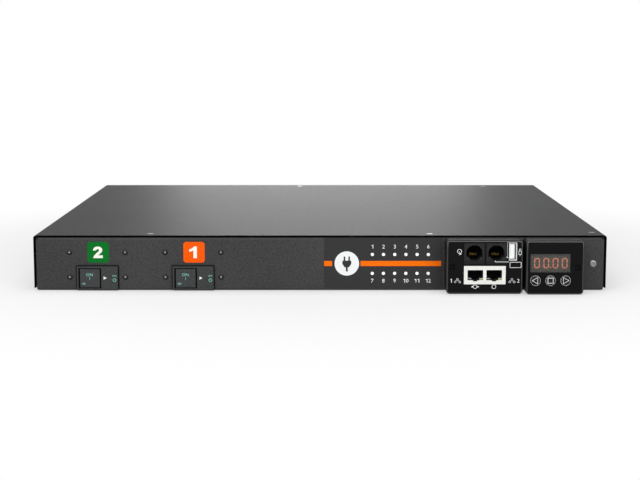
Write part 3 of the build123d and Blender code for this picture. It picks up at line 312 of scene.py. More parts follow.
def moulding(name, dark, light, roughness=0.45, grain_mm=0.5, specular=0.4, strength=0.25, inside=None,
             shade_top_and_sides=False, shade_below=None):
    """Moulded plastic with a fine grain, with painted shade behind a Y where given, and darker below a Z
    where given.

    With a shaded top and sides, faces that look up get one plain painted shade, and side faces get a painted
    shade a bit paler than that of the pockets.
    """
    finish = Finish(name, roughness, specular=specular)
    colour, _ = speckled(finish, dark, light, 2.5)
    gloss = finish.span(finish.noise(3.0), roughness - 0.06, roughness + 0.08)
    if inside is not None:
        # Painted shade: faces behind the given Y turn near black.
        recess = finish.math("GREATER_THAN", finish.along("Y"), inside)
        if shade_top_and_sides:
            upward = finish.math("GREATER_THAN", finish.facing("Z"), STEEP)
            recess = finish.math("MAXIMUM", finish.math("SUBTRACT", recess, upward), 0.0)
            # Painted shade on faces that look up.
            colour = finish.mix(upward, colour, TOP_SHADE)
            side = finish.math("GREATER_THAN", finish.math("ABSOLUTE", finish.facing("X")), STEEP)
            # Painted shade on side faces, a bit paler than that of the pockets.
            side_shade = finish.blend(finish.noise(1.5), *SIDE_SHADE)
            colour = finish.mix(recess, colour, finish.mix(side, DEEP_SHADE, side_shade))
        else:
            colour = finish.mix(recess, colour, DEEP_SHADE)
            gloss = finish.math("MAXIMUM", gloss, recess)
        if shade_below is not None:
            low = finish.math("LESS_THAN", finish.along("Z"), shade_below)
            colour = finish.mix(low, colour, LOW_BLACK)
    finish.use("Base Color", colour)
    finish.use("Roughness", gloss)
    finish.use("Normal", finish.bump(finish.noise(grain_mm, 1.0), strength, 0.03))
    return finish.material


def film(name, colour, roughness=0.35, specular=0.3, spread=0.06):
    """Satin printed film or ink, with a faint mottle in its colour and surface."""
    finish = Finish(name, roughness, specular=specular)
    low = tuple(channel * (1 - spread) for channel in colour[:3]) + (1.0,)
    high = tuple(min(1.0, channel * (1 + spread)) for channel in colour[:3]) + (1.0,)
    finish.use("Base Color", finish.blend(finish.noise(1.2), low, high))
    finish.use("Roughness", finish.span(finish.noise(4.0), roughness - 0.05, roughness + 0.05))
    finish.use("Normal", finish.bump(finish.noise(0.6, 1.0), 0.12, 0.02))
    return finish.material


def steel(name, dark, light, roughness):
    """Bare or plated steel with fine drawn lines and a slow mottle."""
    finish = Finish(name, roughness, metallic=1.0)
    lines = finish.noise(6.0, 4.0, (1.0, 12.0, 12.0))
    finish.use("Base Color", finish.blend(lines, dark, light))
    finish.use("Roughness", finish.span(finish.noise(2.0), roughness - 0.08, roughness + 0.1))
    finish.use("Normal", finish.bump(lines, 0.15, 0.02))
    return finish.material


def zinc(name):
    """Zinc plate with a faint spangle."""
    finish = Finish(name, 0.38, metallic=1.0)
    spangle = finish.add("RGBToBW", {"Color": finish.cells(7.0)}).outputs["Val"]
    finish.use("Base Color", finish.ramp(spangle, tone(150, 154, 158), tone(196, 200, 203)))
    finish.use("Roughness", finish.span(spangle, 0.3, 0.46))
    finish.use("Normal", finish.bump(finish.noise(0.8), 0.1, 0.02))
    return finish.material


def brass(name, band=None):
    """Bright stamped brass, slightly dulled in patches; outside a band of Z, if given, in deep shade."""
    finish = Finish(name, 0.25, metallic=0.2 if band else 1.0)
    patch = finish.noise(1.5, 3.0)
    colour = finish.blend(patch, tone(190, 146, 60), tone(226, 190, 104))
    if band:
        low, high = band
        above = finish.math("GREATER_THAN", finish.along("Z"), low)
        below = finish.math("LESS_THAN", finish.along("Z"), high)
        colour = finish.mix(finish.math("MULTIPLY", above, below), tone(6, 6, 6), colour)
    finish.use("Base Color", colour)
    finish.use("Roughness", finish.span(patch, 0.2, 0.38))
    finish.use("Normal", finish.bump(finish.noise(0.4), 0.1, 0.01))
    return finish.material


def circuit_board(name):
    """Green solder mask over fine tracks."""
    finish = Finish(name, 0.35, specular=0.5)
    inputs = {"Vector": finish.place, "Scale": 260.0, "Mortar Size": 0.12}
    tracks = finish.add("TexBrick", inputs).outputs["Fac"]
    finish.use("Base Color", finish.mix(tracks, tone(18, 74, 40), tone(34, 104, 60)))
    finish.use("Roughness", finish.span(finish.noise(3.0), 0.28, 0.42))
    finish.use("Normal", finish.bump(tracks, 0.3, 0.03))
    return finish.material


def lamp_lens(name):
    """Frosted clear moulding, lit faintly from behind."""
    finish = Finish(name, 0.35, specular=0.5)
    haze = finish.noise(0.8, 2.0)
    finish.use("Base Color", finish.blend(haze, tone(228, 232, 236), tone(248, 250, 252)))
    finish.shader.inputs["Emission Color"].default_value = (1.0, 1.0, 1.0, 1.0)
    finish.shader.inputs["Emission Strength"].default_value = 0.25
    finish.use("Normal", finish.bump(haze, 0.15, 0.02))
    return finish.material


def display_glass(name):
    """Smoked window with a fine satin haze, clear enough to show the digits behind it."""
    finish = Finish(name, 0.12, specular=0.35)
    haze = finish.noise(0.9, 2.0)
    finish.use("Base Color", finish.blend(haze, tone(78, 82, 78), tone(90, 94, 90)))
    finish.use("Roughness", finish.span(haze, 0.08, 0.18))
    finish.shader.inputs["Alpha"].default_value = 0.3
    return finish.material


def glowing(name, colour, strength):
    """A lit segment, slightly uneven along its length."""
    finish = Finish(name, 0.4, specular=0.2)
    glow = finish.noise(1.5, 1.0)
    dim = tuple(channel * 0.8 for channel in colour[:3]) + (1.0,)
    shade = finish.blend(glow, dim, colour)
    finish.use("Base Color", shade)
    finish.use("Emission Color", shade)
    finish.shader.inputs["Emission Strength"].default_value = strength
    return finish.material


def link_lights(name):
    """Light windows of the network jacks: green at the left of each mouth, pale yellow at its right."""
    finish = Finish(name, 0.25, specular=0.4)
    first, pitch = 110.55, 14.3
    run = finish.math("SUBTRACT", finish.math("MULTIPLY", finish.along("X"), 1000.0), first)
    right = finish.math("GREATER_THAN", finish.math("MODULO", run, pitch), pitch / 2)
    haze = finish.noise(0.7, 1.0)
    green = finish.blend(haze, tone(10, 34, 20), tone(22, 50, 32))
    yellow = finish.blend(haze, tone(146, 150, 96), tone(170, 172, 120))
    finish.use("Base Color", finish.mix(right, green, yellow))
    finish.use("Roughness", finish.span(haze, 0.2, 0.34))
    return finish.material


# Heights in metres over which the painted highlight of the rims turns from dim to bright.
RIM_HIGHLIGHT_FROM = 0.034
RIM_HIGHLIGHT_FULL = 0.0408


def rim_highlight_finish(name):
    """Painted highlight on a moulded edge: a grey line, painted lighter towards the top."""
    finish = Finish(name, 0.4, specular=0.2)
    inputs = {"Value": finish.along("Z"), "From Min": RIM_HIGHLIGHT_FROM, "From Max": RIM_HIGHLIGHT_FULL}
    height = finish.add("MapRange", inputs).outputs["Result"]
    mottle = finish.noise(1.2)
    low = finish.blend(mottle, tone(66, 66, 67), tone(76, 76, 77))
    high = finish.blend(mottle, tone(112, 112, 113), tone(126, 126, 127))
    finish.use("Base Color", finish.mix(height, low, high))
    finish.use("Normal", finish.bump(mottle, 0.12, 0.02))
    return finish.material


def ribbon(name):
    """Grey ribbon cable with its parallel conductors."""
    finish = Finish(name, 0.5, specular=0.4)
    conductor_pitch = 1.27
    inputs = {"Vector": finish.place, "Scale": 1000.0 / conductor_pitch / 2}
    wires = finish.add("TexWave", inputs, bands_direction="X").outputs["Fac"]
    finish.use("Base Color", finish.ramp(wires, tone(120, 122, 125), tone(190, 192, 195)))
    finish.use("Normal", finish.bump(wires, 0.5, 0.2))
    return finish.material


def rubber(name):
    finish = Finish(name, 0.75, specular=0.3)
    dust = finish.noise(1.5, 4.0)
    finish.use("Base Color", finish.blend(dust, tone(26, 26, 27), tone(44, 44, 45)))
    finish.use("Roughness", finish.span(dust, 0.65, 0.85))
    finish.use("Normal", finish.bump(finish.noise(0.4), 0.3, 0.05))
    return finish.material


BLACK = (tone(20, 20, 21), tone(34, 34, 35))
GREY_BLACK = (tone(46, 46, 47), tone(58, 58, 59))
BEZEL_BLACK = (tone(46, 48, 48), tone(60, 62, 62))
JACK_BLACK = (tone(24, 25, 24), tone(32, 33, 31))
CREAM = (tone(232, 234, 228), tone(244, 246, 240))
FINISHES = {name: maker(name, *looks) for maker, name, *looks in (
    (powder_coat, "powder_coat", tone(33, 33, 34), tone(64, 64, 65)),
    (zinc, "zinc_steel"),
    (steel, "black_steel", tone(34, 34, 36), tone(54, 54, 56), 0.3),
    (steel, "grey_steel", tone(136, 136, 138), tone(162, 162, 164), 0.6),
    (moulding, "black_moulding", *BLACK, 0.38),
    (moulding, "breaker_moulding", tone(48, 50, 51), tone(62, 64, 65), 0.5, 0.6, 0.25),
    (film, "label_film", tone(12, 12, 13), 0.3, 0.08, 0.15),
    (film, "overlay_film", tone(46, 46, 47), 0.4, 0.2, 0.08),
    (film, "green_film", tone(0, 112, 35), 0.5, 0.1),
    (film, "orange_film", tone(255, 92, 0), 0.5, 0.1),
    (lamp_lens, "lamp_lens"),
    (lamp_lens, "led"),
    (circuit_board, "circuit_board"),
    (moulding, "white_moulding", tone(238, 240, 236), tone(250, 251, 248), 0.35, 0.5, 0.4, 0.1),
    (brass, "brass"),
    (display_glass, "display_glass"),
    (moulding, "digit_face", tone(92, 91, 84), tone(104, 102, 94), 0.5, 0.5),
    (film, "key_moulding", tone(24, 24, 25), 0.35, 0.2, 0.15),
    (moulding, "outlet_moulding", tone(26, 26, 27), tone(40, 40, 41), 0.42, 0.6),
    (moulding, "gland_moulding", tone(28, 28, 29), tone(44, 44, 45), 0.48, 0.8),
    (rubber, "rubber"),
    (moulding, "relay_moulding", tone(24, 24, 26), tone(38, 38, 40), 0.35),
    (moulding, "supply_moulding", tone(30, 30, 33), tone(48, 48, 52), 0.4),
    (ribbon, "ribbon"),
)}
# Depth behind a front face, in metres, from which painted shade fills mouths, windows and pockets.
SHADE_START_DEPTH = 0.6 * MM
SENSOR_WIRE_BAND = (28.4 * MM, 30.4 * MM)
SENSOR_FACE_LOW = 26.0 * MM
NODE_FINISHES = {
    "sensor_contacts": brass("sensor_wires", SENSOR_WIRE_BAND),
    "network_lights": link_lights("link_lights"),
    # Painted reflection: the metal shell of the USB port is a near-white satin film that stands for its
    # bright reflection.
    "usb_shell": film("painted_shell_reflection", tone(250, 251, 252), 0.3, 0.5, 0.02),
    # The top cover gets painted shade on its front and back cut edges.
    "top_cover": powder_coat("cover_coat", tone(20, 20, 21), tone(38, 38, 39), 0.05, True),
    "network_contacts": moulding("shaded_contacts", tone(70, 60, 34), tone(92, 80, 48), 0.4),
}
# Painted shade inside the mouths of the sensor jacks, behind their front faces.
for jack in ("sensor_jack_1", "sensor_jack_2"):
    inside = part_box(jack)[0].y + SHADE_START_DEPTH
    NODE_FINISHES[jack] = moulding(f"{jack}_moulding", *JACK_BLACK, 0.5, specular=0.2, inside=inside,
                                   shade_below=SENSOR_FACE_LOW)
# Painted shade inside each bezel's window, behind its front face.
for number in BREAKERS:
    node = f"breaker_{number}_bezel"
    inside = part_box(node)[0].y + SHADE_START_DEPTH
    NODE_FINISHES[node] = moulding(f"bezel_{number}_moulding", *BEZEL_BLACK, 0.5, 0.6, 0.25, inside=inside)
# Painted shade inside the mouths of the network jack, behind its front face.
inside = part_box("network_jack")[0].y + SHADE_START_DEPTH
NODE_FINISHES["network_jack"] = moulding("network_jack_moulding", *CREAM, 0.35, 0.5, 0.4, 0.1, inside)
# Module housings: painted shade in their pockets and on their tops and sides.
for node in ("comm_housing", "display_housing"):
    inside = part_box(node)[0].y + SHADE_START_DEPTH
    NODE_FINISHES[node] = moulding(f"{node}_moulding", *GREY_BLACK, 0.6, specular=0.1, inside=inside,
                                   shade_top_and_sides=True)
WHITE_INK = film("white_ink", tone(244, 246, 246), 0.45, 0.2, 0.02)
WARM_INK = film("warm_ink", tone(252, 250, 240), 0.5, 0.1, 0.02)
TEAL_INK = film("teal_ink", tone(132, 196, 176), 0.45, 0.25, 0.08)
ORANGE_INK = film("orange_ink", tone(255, 114, 0), 0.5, 0.1, 0.03)
# Finish of the painted highlight lines round the module labels.
RIM_HIGHLIGHT = rim_highlight_finish("rim_highlight_grey")
SOCKET = steel("socket_steel", tone(136, 136, 138), tone(160, 160, 162), 0.6)
SCREW_STEEL = steel("screw_steel", tone(88, 89, 91), tone(124, 125, 127), 0.3)
PIN_STEEL = steel("pin_steel", tone(140, 141, 144), tone(184, 185, 188), 0.35)
BLACK_INK = film("black_ink", tone(52, 52, 53), 0.45, 0.1)
# Near black for the painted shade lines in the gaps round the breakers.
GAP_SHADE = film("gap_shade_finish", tone(4, 4, 4), 0.9, 0.02)
GLOW = glowing("segment_glow", tone(232, 138, 112), 0.3)


def finish_cad_nodes():
    """Gives each node of the frame its own finish, or that of its slot."""
    for row in frame["record"]["subparts"]:
        name = row["node"]
        material = NODE_FINISHES[name] if name in NODE_FINISHES else FINISHES[row["material_slot"]]
        mesh = nodes[name].data
        mesh.materials.clear()
        mesh.materials.append(material)
        mesh.update()


UPRIGHT = Matrix.Rotation(math.radians(90), 4, "X")


def circle(x, z, radius, count=48):
    """A closed round outline."""
    turns = [2 * math.pi * index / count for index in range(count)]
    return [(x + radius * math.cos(turn), z + radius * math.sin(turn)) for turn in turns]


def ring(x, z, outer, inner):
    return [circle(x, z, outer), circle(x, z, inner)]


def bar(left, low, right, high):
    return [(left, low), (right, low), (right, high), (left, high)]


def grown(box, by):
    """Outline of a box of X and Z, grown on all sides."""
    left, low, right, high = box
    return bar(left - by, low - by, right + by, high + by)


def moved(outline, x, z):
    return [(px + x, pz + z) for px, pz in outline]


def spun(outline, turn):
    """An outline turned about its origin."""
    return [(px * math.cos(turn) - pz * math.sin(turn), px * math.sin(turn) + pz * math.cos(turn))
            for px, pz in outline]


def mesh_of(curve, matrix):
    """The mesh of a curve or text, moved by a matrix, with the curve removed."""
    holder = bpy.data.objects.new("holder", curve)
    scene.collection.objects.link(holder)
    bpy.context.view_layer.update()
    evaluated = holder.evaluated_get(bpy.context.evaluated_depsgraph_get())
    mesh = bpy.data.meshes.new_from_object(evaluated)
    mesh.transform(matrix)
    bpy.data.objects.remove(holder)
    return mesh


def plate(outlines, face_y, thickness):
    """Mesh of a flat shape on an upright face: outlines in X and Z, in mm; a nested one is a hole."""
    curve = bpy.data.curves.new("outline", "CURVE")
    curve.dimensions = "2D"
    curve.fill_mode = "BOTH"
    curve.extrude = thickness / 2 * MM
    for outline in outlines:
        spline = curve.splines.new("POLY")
        spline.points.add(len(outline) - 1)
        for point, (x, z) in zip(spline.points, outline):
            point.co = (x * MM, z * MM, 0, 1)
        spline.use_cyclic_u = True
    return mesh_of(curve, Matrix.Translation((0, (face_y - thickness / 2) * MM, 0)) @ UPRIGHT)


def words(text, x, z, height, face_y, weight=0.0, widen=1.0):
    """Mesh of a short text centred at X and Z, of a given height, on an upright face."""
    curve = bpy.data.curves.new("text", "FONT")
    curve.body = text
    curve.align_x = "CENTER"
    curve.align_y = "CENTER"
    curve.size = 1.0
    curve.offset = weight
    mesh = mesh_of(curve, Matrix.Identity(4))
    across = [vertex.co.x for vertex in mesh.vertices]
    along = [vertex.co.y for vertex in mesh.vertices]
    centre = Vector(((min(across) + max(across)) / 2, (min(along) + max(along)) / 2, 0))
    grow = height / (max(along) - min(along)) * MM
    mesh.transform(Matrix.Translation(-centre))
    mesh.transform(Matrix.Diagonal((grow * widen, grow, grow, 1)))
    place = Matrix.Translation((x * MM, (face_y - INK) * MM, z * MM))
    mesh.transform(place @ UPRIGHT)
    return thicken(mesh, INK)


def numeral(text, x, z, height, face_y, weight=0.0):
    """Meshes of a number centred at X and Z; each 1 is drawn with a flag, and a 9 is a 6 turned over."""
    pitch = NUMERAL_PITCH * height
    left = x - pitch * (len(text) - 1) / 2
    meshes = []
    for index, digit in enumerate(text):
        middle = left + index * pitch
        if digit == "1":
            stroke = height * (0.15 + 2 * weight)
            meshes.append(plate([moved(figure_one(height, stroke), middle, z)], face_y, INK))
        else:
            shown = "6" if digit == "9" else digit
            mesh = words(shown, middle, z, height, face_y, weight)
            if digit == "9":
                about = Matrix.Translation((middle * MM, 0, z * MM))
                mesh.transform(about @ Matrix.Rotation(math.pi, 4, "Y") @ about.inverted())
            meshes.append(mesh)
    return meshes


def figure_one(height, stroke):
    """Outline of a plain figure 1, about its middle."""
    half, reach = height / 2, stroke + height * 0.11
    right = (stroke + reach) / 2
    stem = right - stroke
    return [(stem, -half), (right, -half), (right, half), (stem + stroke * 0.2, half),
            (stem - reach * 0.45, half - height * 0.14), (right - stroke - reach, half - height * 0.2),
            (right - stroke - reach, half - height * 0.34), (stem, half - height * 0.26)]


def thicken(mesh, thickness):
    """Gives a flat upright mesh its thickness, towards the back."""
    work = bmesh.new()
    work.from_mesh(mesh)
    work.normal_update()
    made = bmesh.ops.extrude_face_region(work, geom=list(work.faces))
    back = [item for item in made["geom"] if isinstance(item, bmesh.types.BMVert)]
    bmesh.ops.translate(work, verts=back, vec=(0, thickness * MM, 0))
    bmesh.ops.recalc_face_normals(work, faces=work.faces)
    work.to_mesh(mesh)
    work.free()
    return mesh


def piece(name, meshes, material, body="chassis", smooth=False):
    """One object from several meshes, with its finish, riding on a body."""
    work = bmesh.new()
    for mesh in meshes:
        work.from_mesh(mesh)
    joined = bpy.data.meshes.new(name)
    work.to_mesh(joined)
    work.free()
    for mesh in meshes:
        bpy.data.meshes.remove(mesh)
    if smooth:
        joined.shade_smooth()
        joined.set_sharp_from_angle(angle=math.radians(35))
    joined.materials.clear()
    joined.materials.append(material)
    made = bpy.data.objects.new(name, joined)
    scene.collection.objects.link(made)
    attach(made, body)
    return made


def finished(work, centre, turn=None):
    """Mesh of work done in mm, turned if asked and moved to a centre."""
    bmesh.ops.recalc_face_normals(work, faces=work.faces)
    mesh = bpy.data.meshes.new("turned")
    work.to_mesh(mesh)
    work.free()
    if turn is not None:
        mesh.transform(turn)
    mesh.transform(Matrix.Translation(Vector(centre) * MM) @ Matrix.Scale(MM, 4))
    return mesh


def turned(profile, centre, turn=None, segments=40):
    """Round mesh about Y, or about Y turned, from pairs of radius and place on that axis, in mm."""
    work = bmesh.new()
    rings = []
    for radius, place in profile:
        count = 1 if radius == 0 else segments
        turns = [2 * math.pi * index / segments for index in range(count)]
        places = [(radius * math.cos(turn), place, radius * math.sin(turn)) for turn in turns]
        rings.append([work.verts.new(corner) for corner in places])
    for low, high in zip(rings, rings[1:]):
        for index in range(segments):
            corners = [low[index % len(low)], low[(index + 1) % len(low)],
                       high[(index + 1) % len(high)], high[index % len(high)]]
            corners = list(dict.fromkeys(corners))
            if len(corners) > 2:
                work.faces.new(corners)
    return finished(work, centre, turn)


def solids_of(node):
    """Lowest and highest corners, in mm, of each separate solid of a node."""
    work = bmesh.new()
    work.from_mesh(nodes[node].data)
    bmesh.ops.remove_doubles(work, verts=work.verts, dist=1e-7)
    boxes, seen = [], set()
    for first in work.verts:
        if first in seen:
            continue
        seen.add(first)
        group, queue = [], [first]
        while queue:
            vertex = queue.pop()
            group.append(vertex.co / MM)
            for edge in vertex.link_edges:
                other = edge.other_vert(vertex)
                if other not in seen:
                    seen.add(other)
                    queue.append(other)
        axes = list(zip(*group))
        boxes.append((Vector([min(axis) for axis in axes]), Vector([max(axis) for axis in axes])))
    work.free()
    return boxes


def front_of(node):
    """Y of a node's front face, in mm."""
    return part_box(node)[0].y / MM


def centre_of(node):
    """X and Z of a node's middle, in mm."""
    low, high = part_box(node)
    return (low.x + high.x) / 2 / MM, (low.z + high.z) / 2 / MM


def lamp_columns():
    middle, _ = centre_of("light_pipe_upper")
    return [middle + (index - (LAMP_COUNT - 1) / 2) * LAMP_PITCH for index in range(LAMP_COUNT)]


def print_overlay():
    """Numerals beside the lamps, the orange stripe and the white disc with a plain plug sign."""
    face = front_of("status_overlay")
    numerals = []
    for index, x in enumerate(lamp_columns()):
        upper, lower = str(index + 1), str(index + 1 + LAMP_COUNT)
        numerals += numeral(upper, x, UPPER_NUMERALS, NUMERAL_HEIGHT, face, LETTER_WEIGHT)
        numerals += numeral(lower, x, LOWER_NUMERALS, NUMERAL_HEIGHT, face, LETTER_WEIGHT)
    piece("lamp_numerals", numerals, WHITE_INK)
    bars = [plate([bar(left, STRIPE_LOW, right, STRIPE_HIGH)], face, INK) for left, right in STRIPE_SPANS]
    piece("stripe", bars, ORANGE_INK)
    x, z = ROUNDEL
    piece("roundel", [plate([circle(x, z, ROUNDEL_RADIUS, 96)], face, INK)], WHITE_INK)
    shapes = [PLUG_BODY] + [bar(*prong) for prong in PLUG_PRONGS]
    signs = [plate([moved(shape, x, z)], face - INK, INK) for shape in shapes]
    piece("roundel_sign", signs, BLACK_INK)


BOLD_ONE = [(1.0, 0.0), (1.0, 1.0), (0.6, 1.0), (0.52, 0.91), (0.4, 0.84), (0.24, 0.79), (0.04, 0.76),
            (0.04, 0.56), (0.3, 0.59), (0.56, 0.66), (0.56, 0.0)]


def arc(centre, radii, start, end, steps=18):
    """Points of an ellipse's arc between two angles, in degrees."""
    turns = [math.radians(start + (end - start) * index / steps) for index in range(steps + 1)]
    return [(centre[0] + radii[0] * math.cos(turn), centre[1] + radii[1] * math.sin(turn)) for turn in turns]


def bend(first, pull, last, steps=10):
    """Points of a smooth bend between two points, drawn towards a third."""
    points = []
    for index in range(1, steps + 1):
        share = index / steps
        rest = 1 - share
        points.append(tuple(rest * rest * a + 2 * rest * share * b + share * share * c
                            for a, b, c in zip(first, pull, last)))
    return points


def bold_two():
    """Outline of a bold figure 2 in a unit square."""
    middle = (0.49, 0.69)
    outline = arc(middle, (0.48, 0.31), 190, -20)
    outline += bend(outline[-1], (0.84, 0.42), (0.5, 0.24))
    outline += [(1.0, 0.24), (1.0, 0.0), (0.0, 0.0)]
    outline += bend((0.0, 0.0), (0.03, 0.2), (0.34, 0.42))
    outline += bend((0.34, 0.42), (0.62, 0.58), (0.63, 0.68))
    return outline + arc(middle, (0.14, 0.09), 5, 190)


BADGE_NUMERALS = {1: (BOLD_ONE, -0.85, 6.1), 2: (bold_two(), -0.25, 7.3)}
BADGE_NUMERAL_HEIGHT = 9.0


def print_badges():
    """Bold numerals on the square stickers."""
    for number, (outline, shift, width) in BADGE_NUMERALS.items():
        node = f"badge_{number}"
        x, z = centre_of(node)
        left, low = x + shift - width / 2, z - BADGE_NUMERAL_HEIGHT / 2
        shape = [(left + px * width, low + pz * BADGE_NUMERAL_HEIGHT) for px, pz in outline]
        piece(f"badge_numeral_{number}", [plate([shape], front_of(node), INK)], WARM_INK)


def print_breakers():
    """Prints of the breakers: on the paddles, which move, and on the bezels."""
    for number, x in BREAKERS.items():
        paddle = front_of(f"breaker_{number}_rocker")
        bezel = front_of(f"breaker_{number}_bezel")
        along, height = ON_WORD
        marks = [words("ON", x + along, height, ON_HEIGHT, paddle, weight=LETTER_WEIGHT, widen=1.1)]
        marks += [plate([moved(bar(*mark), x, 0)], paddle, INK) for mark in ON_MARKS]
        piece(f"paddle_print_{number}", marks, TEAL_INK, f"rocker_{number}")
        piece(f"arrow_print_{number}", [plate([moved(ARROW, x, 0)], bezel, INK)], WHITE_INK)
        along, height = OFF_WORD
        marks = [words("OFF", x + along, height, OFF_HEIGHT, bezel, weight=LETTER_WEIGHT)]
        along, height, outer, inner = OFF_RING
        marks.append(plate(ring(x + along, height, outer, inner), bezel, INK))
        piece(f"bezel_print_{number}", marks, TEAL_INK)


def network_sign(x, z):
    """Three boxes joined by lines, as outlines about a middle."""
    shapes = []
    for dx, dz in ((0, 1.15), (-1.75, -1.15), (1.75, -1.15)):
        outer = bar(dx - 0.75, dz - 0.55, dx + 0.75, dz + 0.55)
        inner = bar(dx - 0.57, dz - 0.37, dx + 0.57, dz + 0.37)
        shapes.append([moved(outer, x, z), moved(inner, x, z)])
    lines = [bar(-0.09, 0.0, 0.09, 0.6), bar(-1.84, -0.18, 1.84, 0.0)]
    lines += [bar(-1.84, -0.6, -1.66, -0.18), bar(1.66, -0.6, 1.84, -0.18)]
    return shapes + [[moved(line, x, z)] for line in lines]


def chain_sign(x, z):
    """A ring with an arrow head at each side."""
    shapes = [ring(x, z, 1.55, 1.2)]
    for side in (-1, 1):
        shapes.append([[(x + side * 3.1, z), (x + side * 1.7, z + 0.75), (x + side * 1.7, z - 0.75)]])
    return shapes


def sensor_sign(x, z):
    """A ring on a stem, with a drop beside it."""
    stem = bar(x - 0.15, z - 2.9, x + 0.15, z)
    return [ring(x, z, 1.75, 1.4), [stem], [circle(x + 0.75, z - 2.0, 0.55, 24)]]


def port_sign(x, z):
    """A plug in outline, with a short cord."""
    shell = [bar(x - 1.1, z - 2.0, x + 1.1, z + 0.8), bar(x - 0.8, z - 1.7, x + 0.8, z + 0.5)]
    tongue = [bar(x - 0.75, z + 0.8, x + 0.75, z + 2.4), bar(x - 0.45, z + 0.8, x + 0.45, z + 2.1)]
    return [shell, tongue, [bar(x - 0.15, z - 3.2, x + 0.15, z - 2.0)]]


def print_comm_label():
    """Port numbers, plain signs and lines of the communication module."""
    face = front_of("comm_label")
    shapes = [shape for x in NETWORK_SIGNS for shape in network_sign(x, PORT_ROW)]
    shapes += chain_sign(CHAIN_SIGN_X, RING_ROW)
    shapes.append(ring(RING_SIGN_X, RING_ROW, 1.7, 1.3))
    shapes += sensor_sign(*SENSOR_SIGN)
    shapes += [[bar(*line)] for line in PORT_LINES]
    shapes.append([circle(*PORT_DOT, 24)])
    shapes += port_sign(*PORT_SIGN)
    left, low, right, high = SERIAL_FRAME
    thin = FRAME_LINE
    inner = rounded(left + thin, low + thin, right - thin, high - thin, 0.5)
    shapes.append([rounded(*SERIAL_FRAME, 0.8), inner])
    meshes = [plate(shape, face, INK) for shape in shapes]
    jack = front_of("sensor_jack_2")
    meshes += [plate([bar(*line)], jack, INK) for line in CALLOUT_ON_JACK]
    meshes.append(plate([bar(*CALLOUT_ON_LABEL)], face, INK))
    for number, x in PORT_NUMERALS.items():
        meshes += numeral(number, x, PORT_ROW, PORT_NUMERAL_HEIGHT, face)
    piece("comm_print", meshes, WHITE_INK)


def rounded(left, low, right, high, radius):
    """A rectangle with round corners, as one outline."""
    outline = []
    corners = [(right - radius, low + radius, -90), (right - radius, high - radius, 0)]
    corners += [(left + radius, high - radius, 90), (left + radius, low + radius, 180)]
    for x, z, start in corners:
        outline += arc((x, z), (radius, radius), start, start + 90, 6)
    return outline


def frame_of(outline, x, z, share):
    """An outline and the same outline made smaller about its middle, as a thin frame."""
    inner = [(px * share, pz * share) for px, pz in outline]
    return [moved(outline, x, z), moved(inner, x, z)]


def print_keys():
    """White rings and plain signs on the keys."""
    back, tip = TRIANGLE_BACK - TRIANGLE_SHIFT, -TRIANGLE_TIP - TRIANGLE_SHIFT
    triangle = [(back, TRIANGLE_HALF), (back, -TRIANGLE_HALF), (tip, 0.0)]
    reach = SQUARE_REACH
    signs = {
        "left": (triangle, TRIANGLE_SHIFT),
        "select": (bar(-reach, -reach, reach, reach), 0.0),
        "right": ([(-px, -pz) for px, pz in triangle], -TRIANGLE_SHIFT),
    }
    for side, (sign, shift) in signs.items():
        node = f"key_{side}"
        x, z = centre_of(node)
        face = front_of(node)
        meshes = [plate(ring(x, z, RING_OUTER, RING_INNER), face, INK)]
        meshes.append(plate(frame_of(sign, x + shift, z, SIGN_SHARE), face, INK))
        piece(f"key_print_{side}", meshes, WHITE_INK, f"{side}_key")


def segment(start, end):
    """A lit bar with pointed ends between two points, level or upright."""
    (x1, z1), (x2, z2) = start, end
    half = SEGMENT / 2
    if abs(z2 - z1) < abs(x2 - x1):
        return [(x1, z1), (x1 + half, z1 - half), (x2 - half, z1 - half), (x2, z1),
                (x2 - half, z1 + half), (x1 + half, z1 + half)]
    return [(x1, z1), (x1 + half, z1 + half), (x1 + half, z2 - half), (x1, z2),
            (x1 - half, z2 - half), (x1 - half, z1 + half)]


def light_digits():
    """Lit zeros with a point between the middle two, on the face of the block behind the window."""
    face = front_of("digit_block")
    meshes = []
    gap = SEGMENT_GAP
    half = SEGMENT / 2
    low, middle, high = DIGIT_LOW + half, (DIGIT_LOW + DIGIT_HIGH) / 2, DIGIT_HIGH - half
    for index in range(DIGIT_COUNT):
        centre = DIGIT_FIRST + index * DIGIT_PITCH
        left, right = centre - DIGIT_WIDTH / 2 + half, centre + DIGIT_WIDTH / 2 - half
        strokes = [((left + gap, low), (right - gap, low)), ((left + gap, high), (right - gap, high))]
        for x in (left, right):
            strokes.append(((x, low + gap), (x, middle - gap)))
            strokes.append(((x, middle + gap), (x, high - gap)))
        meshes += [plate([segment(*stroke)], face, INK) for stroke in strokes]
    point_x = DIGIT_FIRST + (DIGIT_COUNT - 1) / 2 * DIGIT_PITCH
    meshes.append(plate([circle(point_x, low, POINT_RADIUS, 24)], face, INK))
    piece("digit_segments", meshes, GLOW)


def rivet_heads():
    """Blind rivets: a dome with its pin broken off inside, and shank and tail behind the panel."""
    panel = front_of("base_tray")
    heads, pins = [], []
    for low, high in solids_of("bracket_rivets"):
        centre = ((low.x + high.x) / 2, panel, (low.z + high.z) / 2)
        back = high.y - panel
        neck = back - RIVET_TAIL_DEPTH
        outside = [(0, back), (RIVET_TAIL, back), (RIVET_TAIL, neck), (RIVET_SHANK, neck), (RIVET_SHANK, 0)]
        heads.append(turned(outside + RIVET_DOME, centre))
        pins.append(turned(RIVET_PIN, centre))
    made = piece("rivet_heads", heads, FINISHES["black_steel"], smooth=True)
    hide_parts("bracket_rivets")
    piece("rivet_pins", pins, PIN_STEEL, smooth=True)


def cross(reach, width):
    """Outline of a screwdriver's cross, with ends that narrow."""
    half, tip = width / 2, width * 0.3
    arm = [(half, -half), (reach, -tip), (reach, tip)]
    return [place for quarter in range(4) for place in spun(arm, math.radians(90 * quarter))]


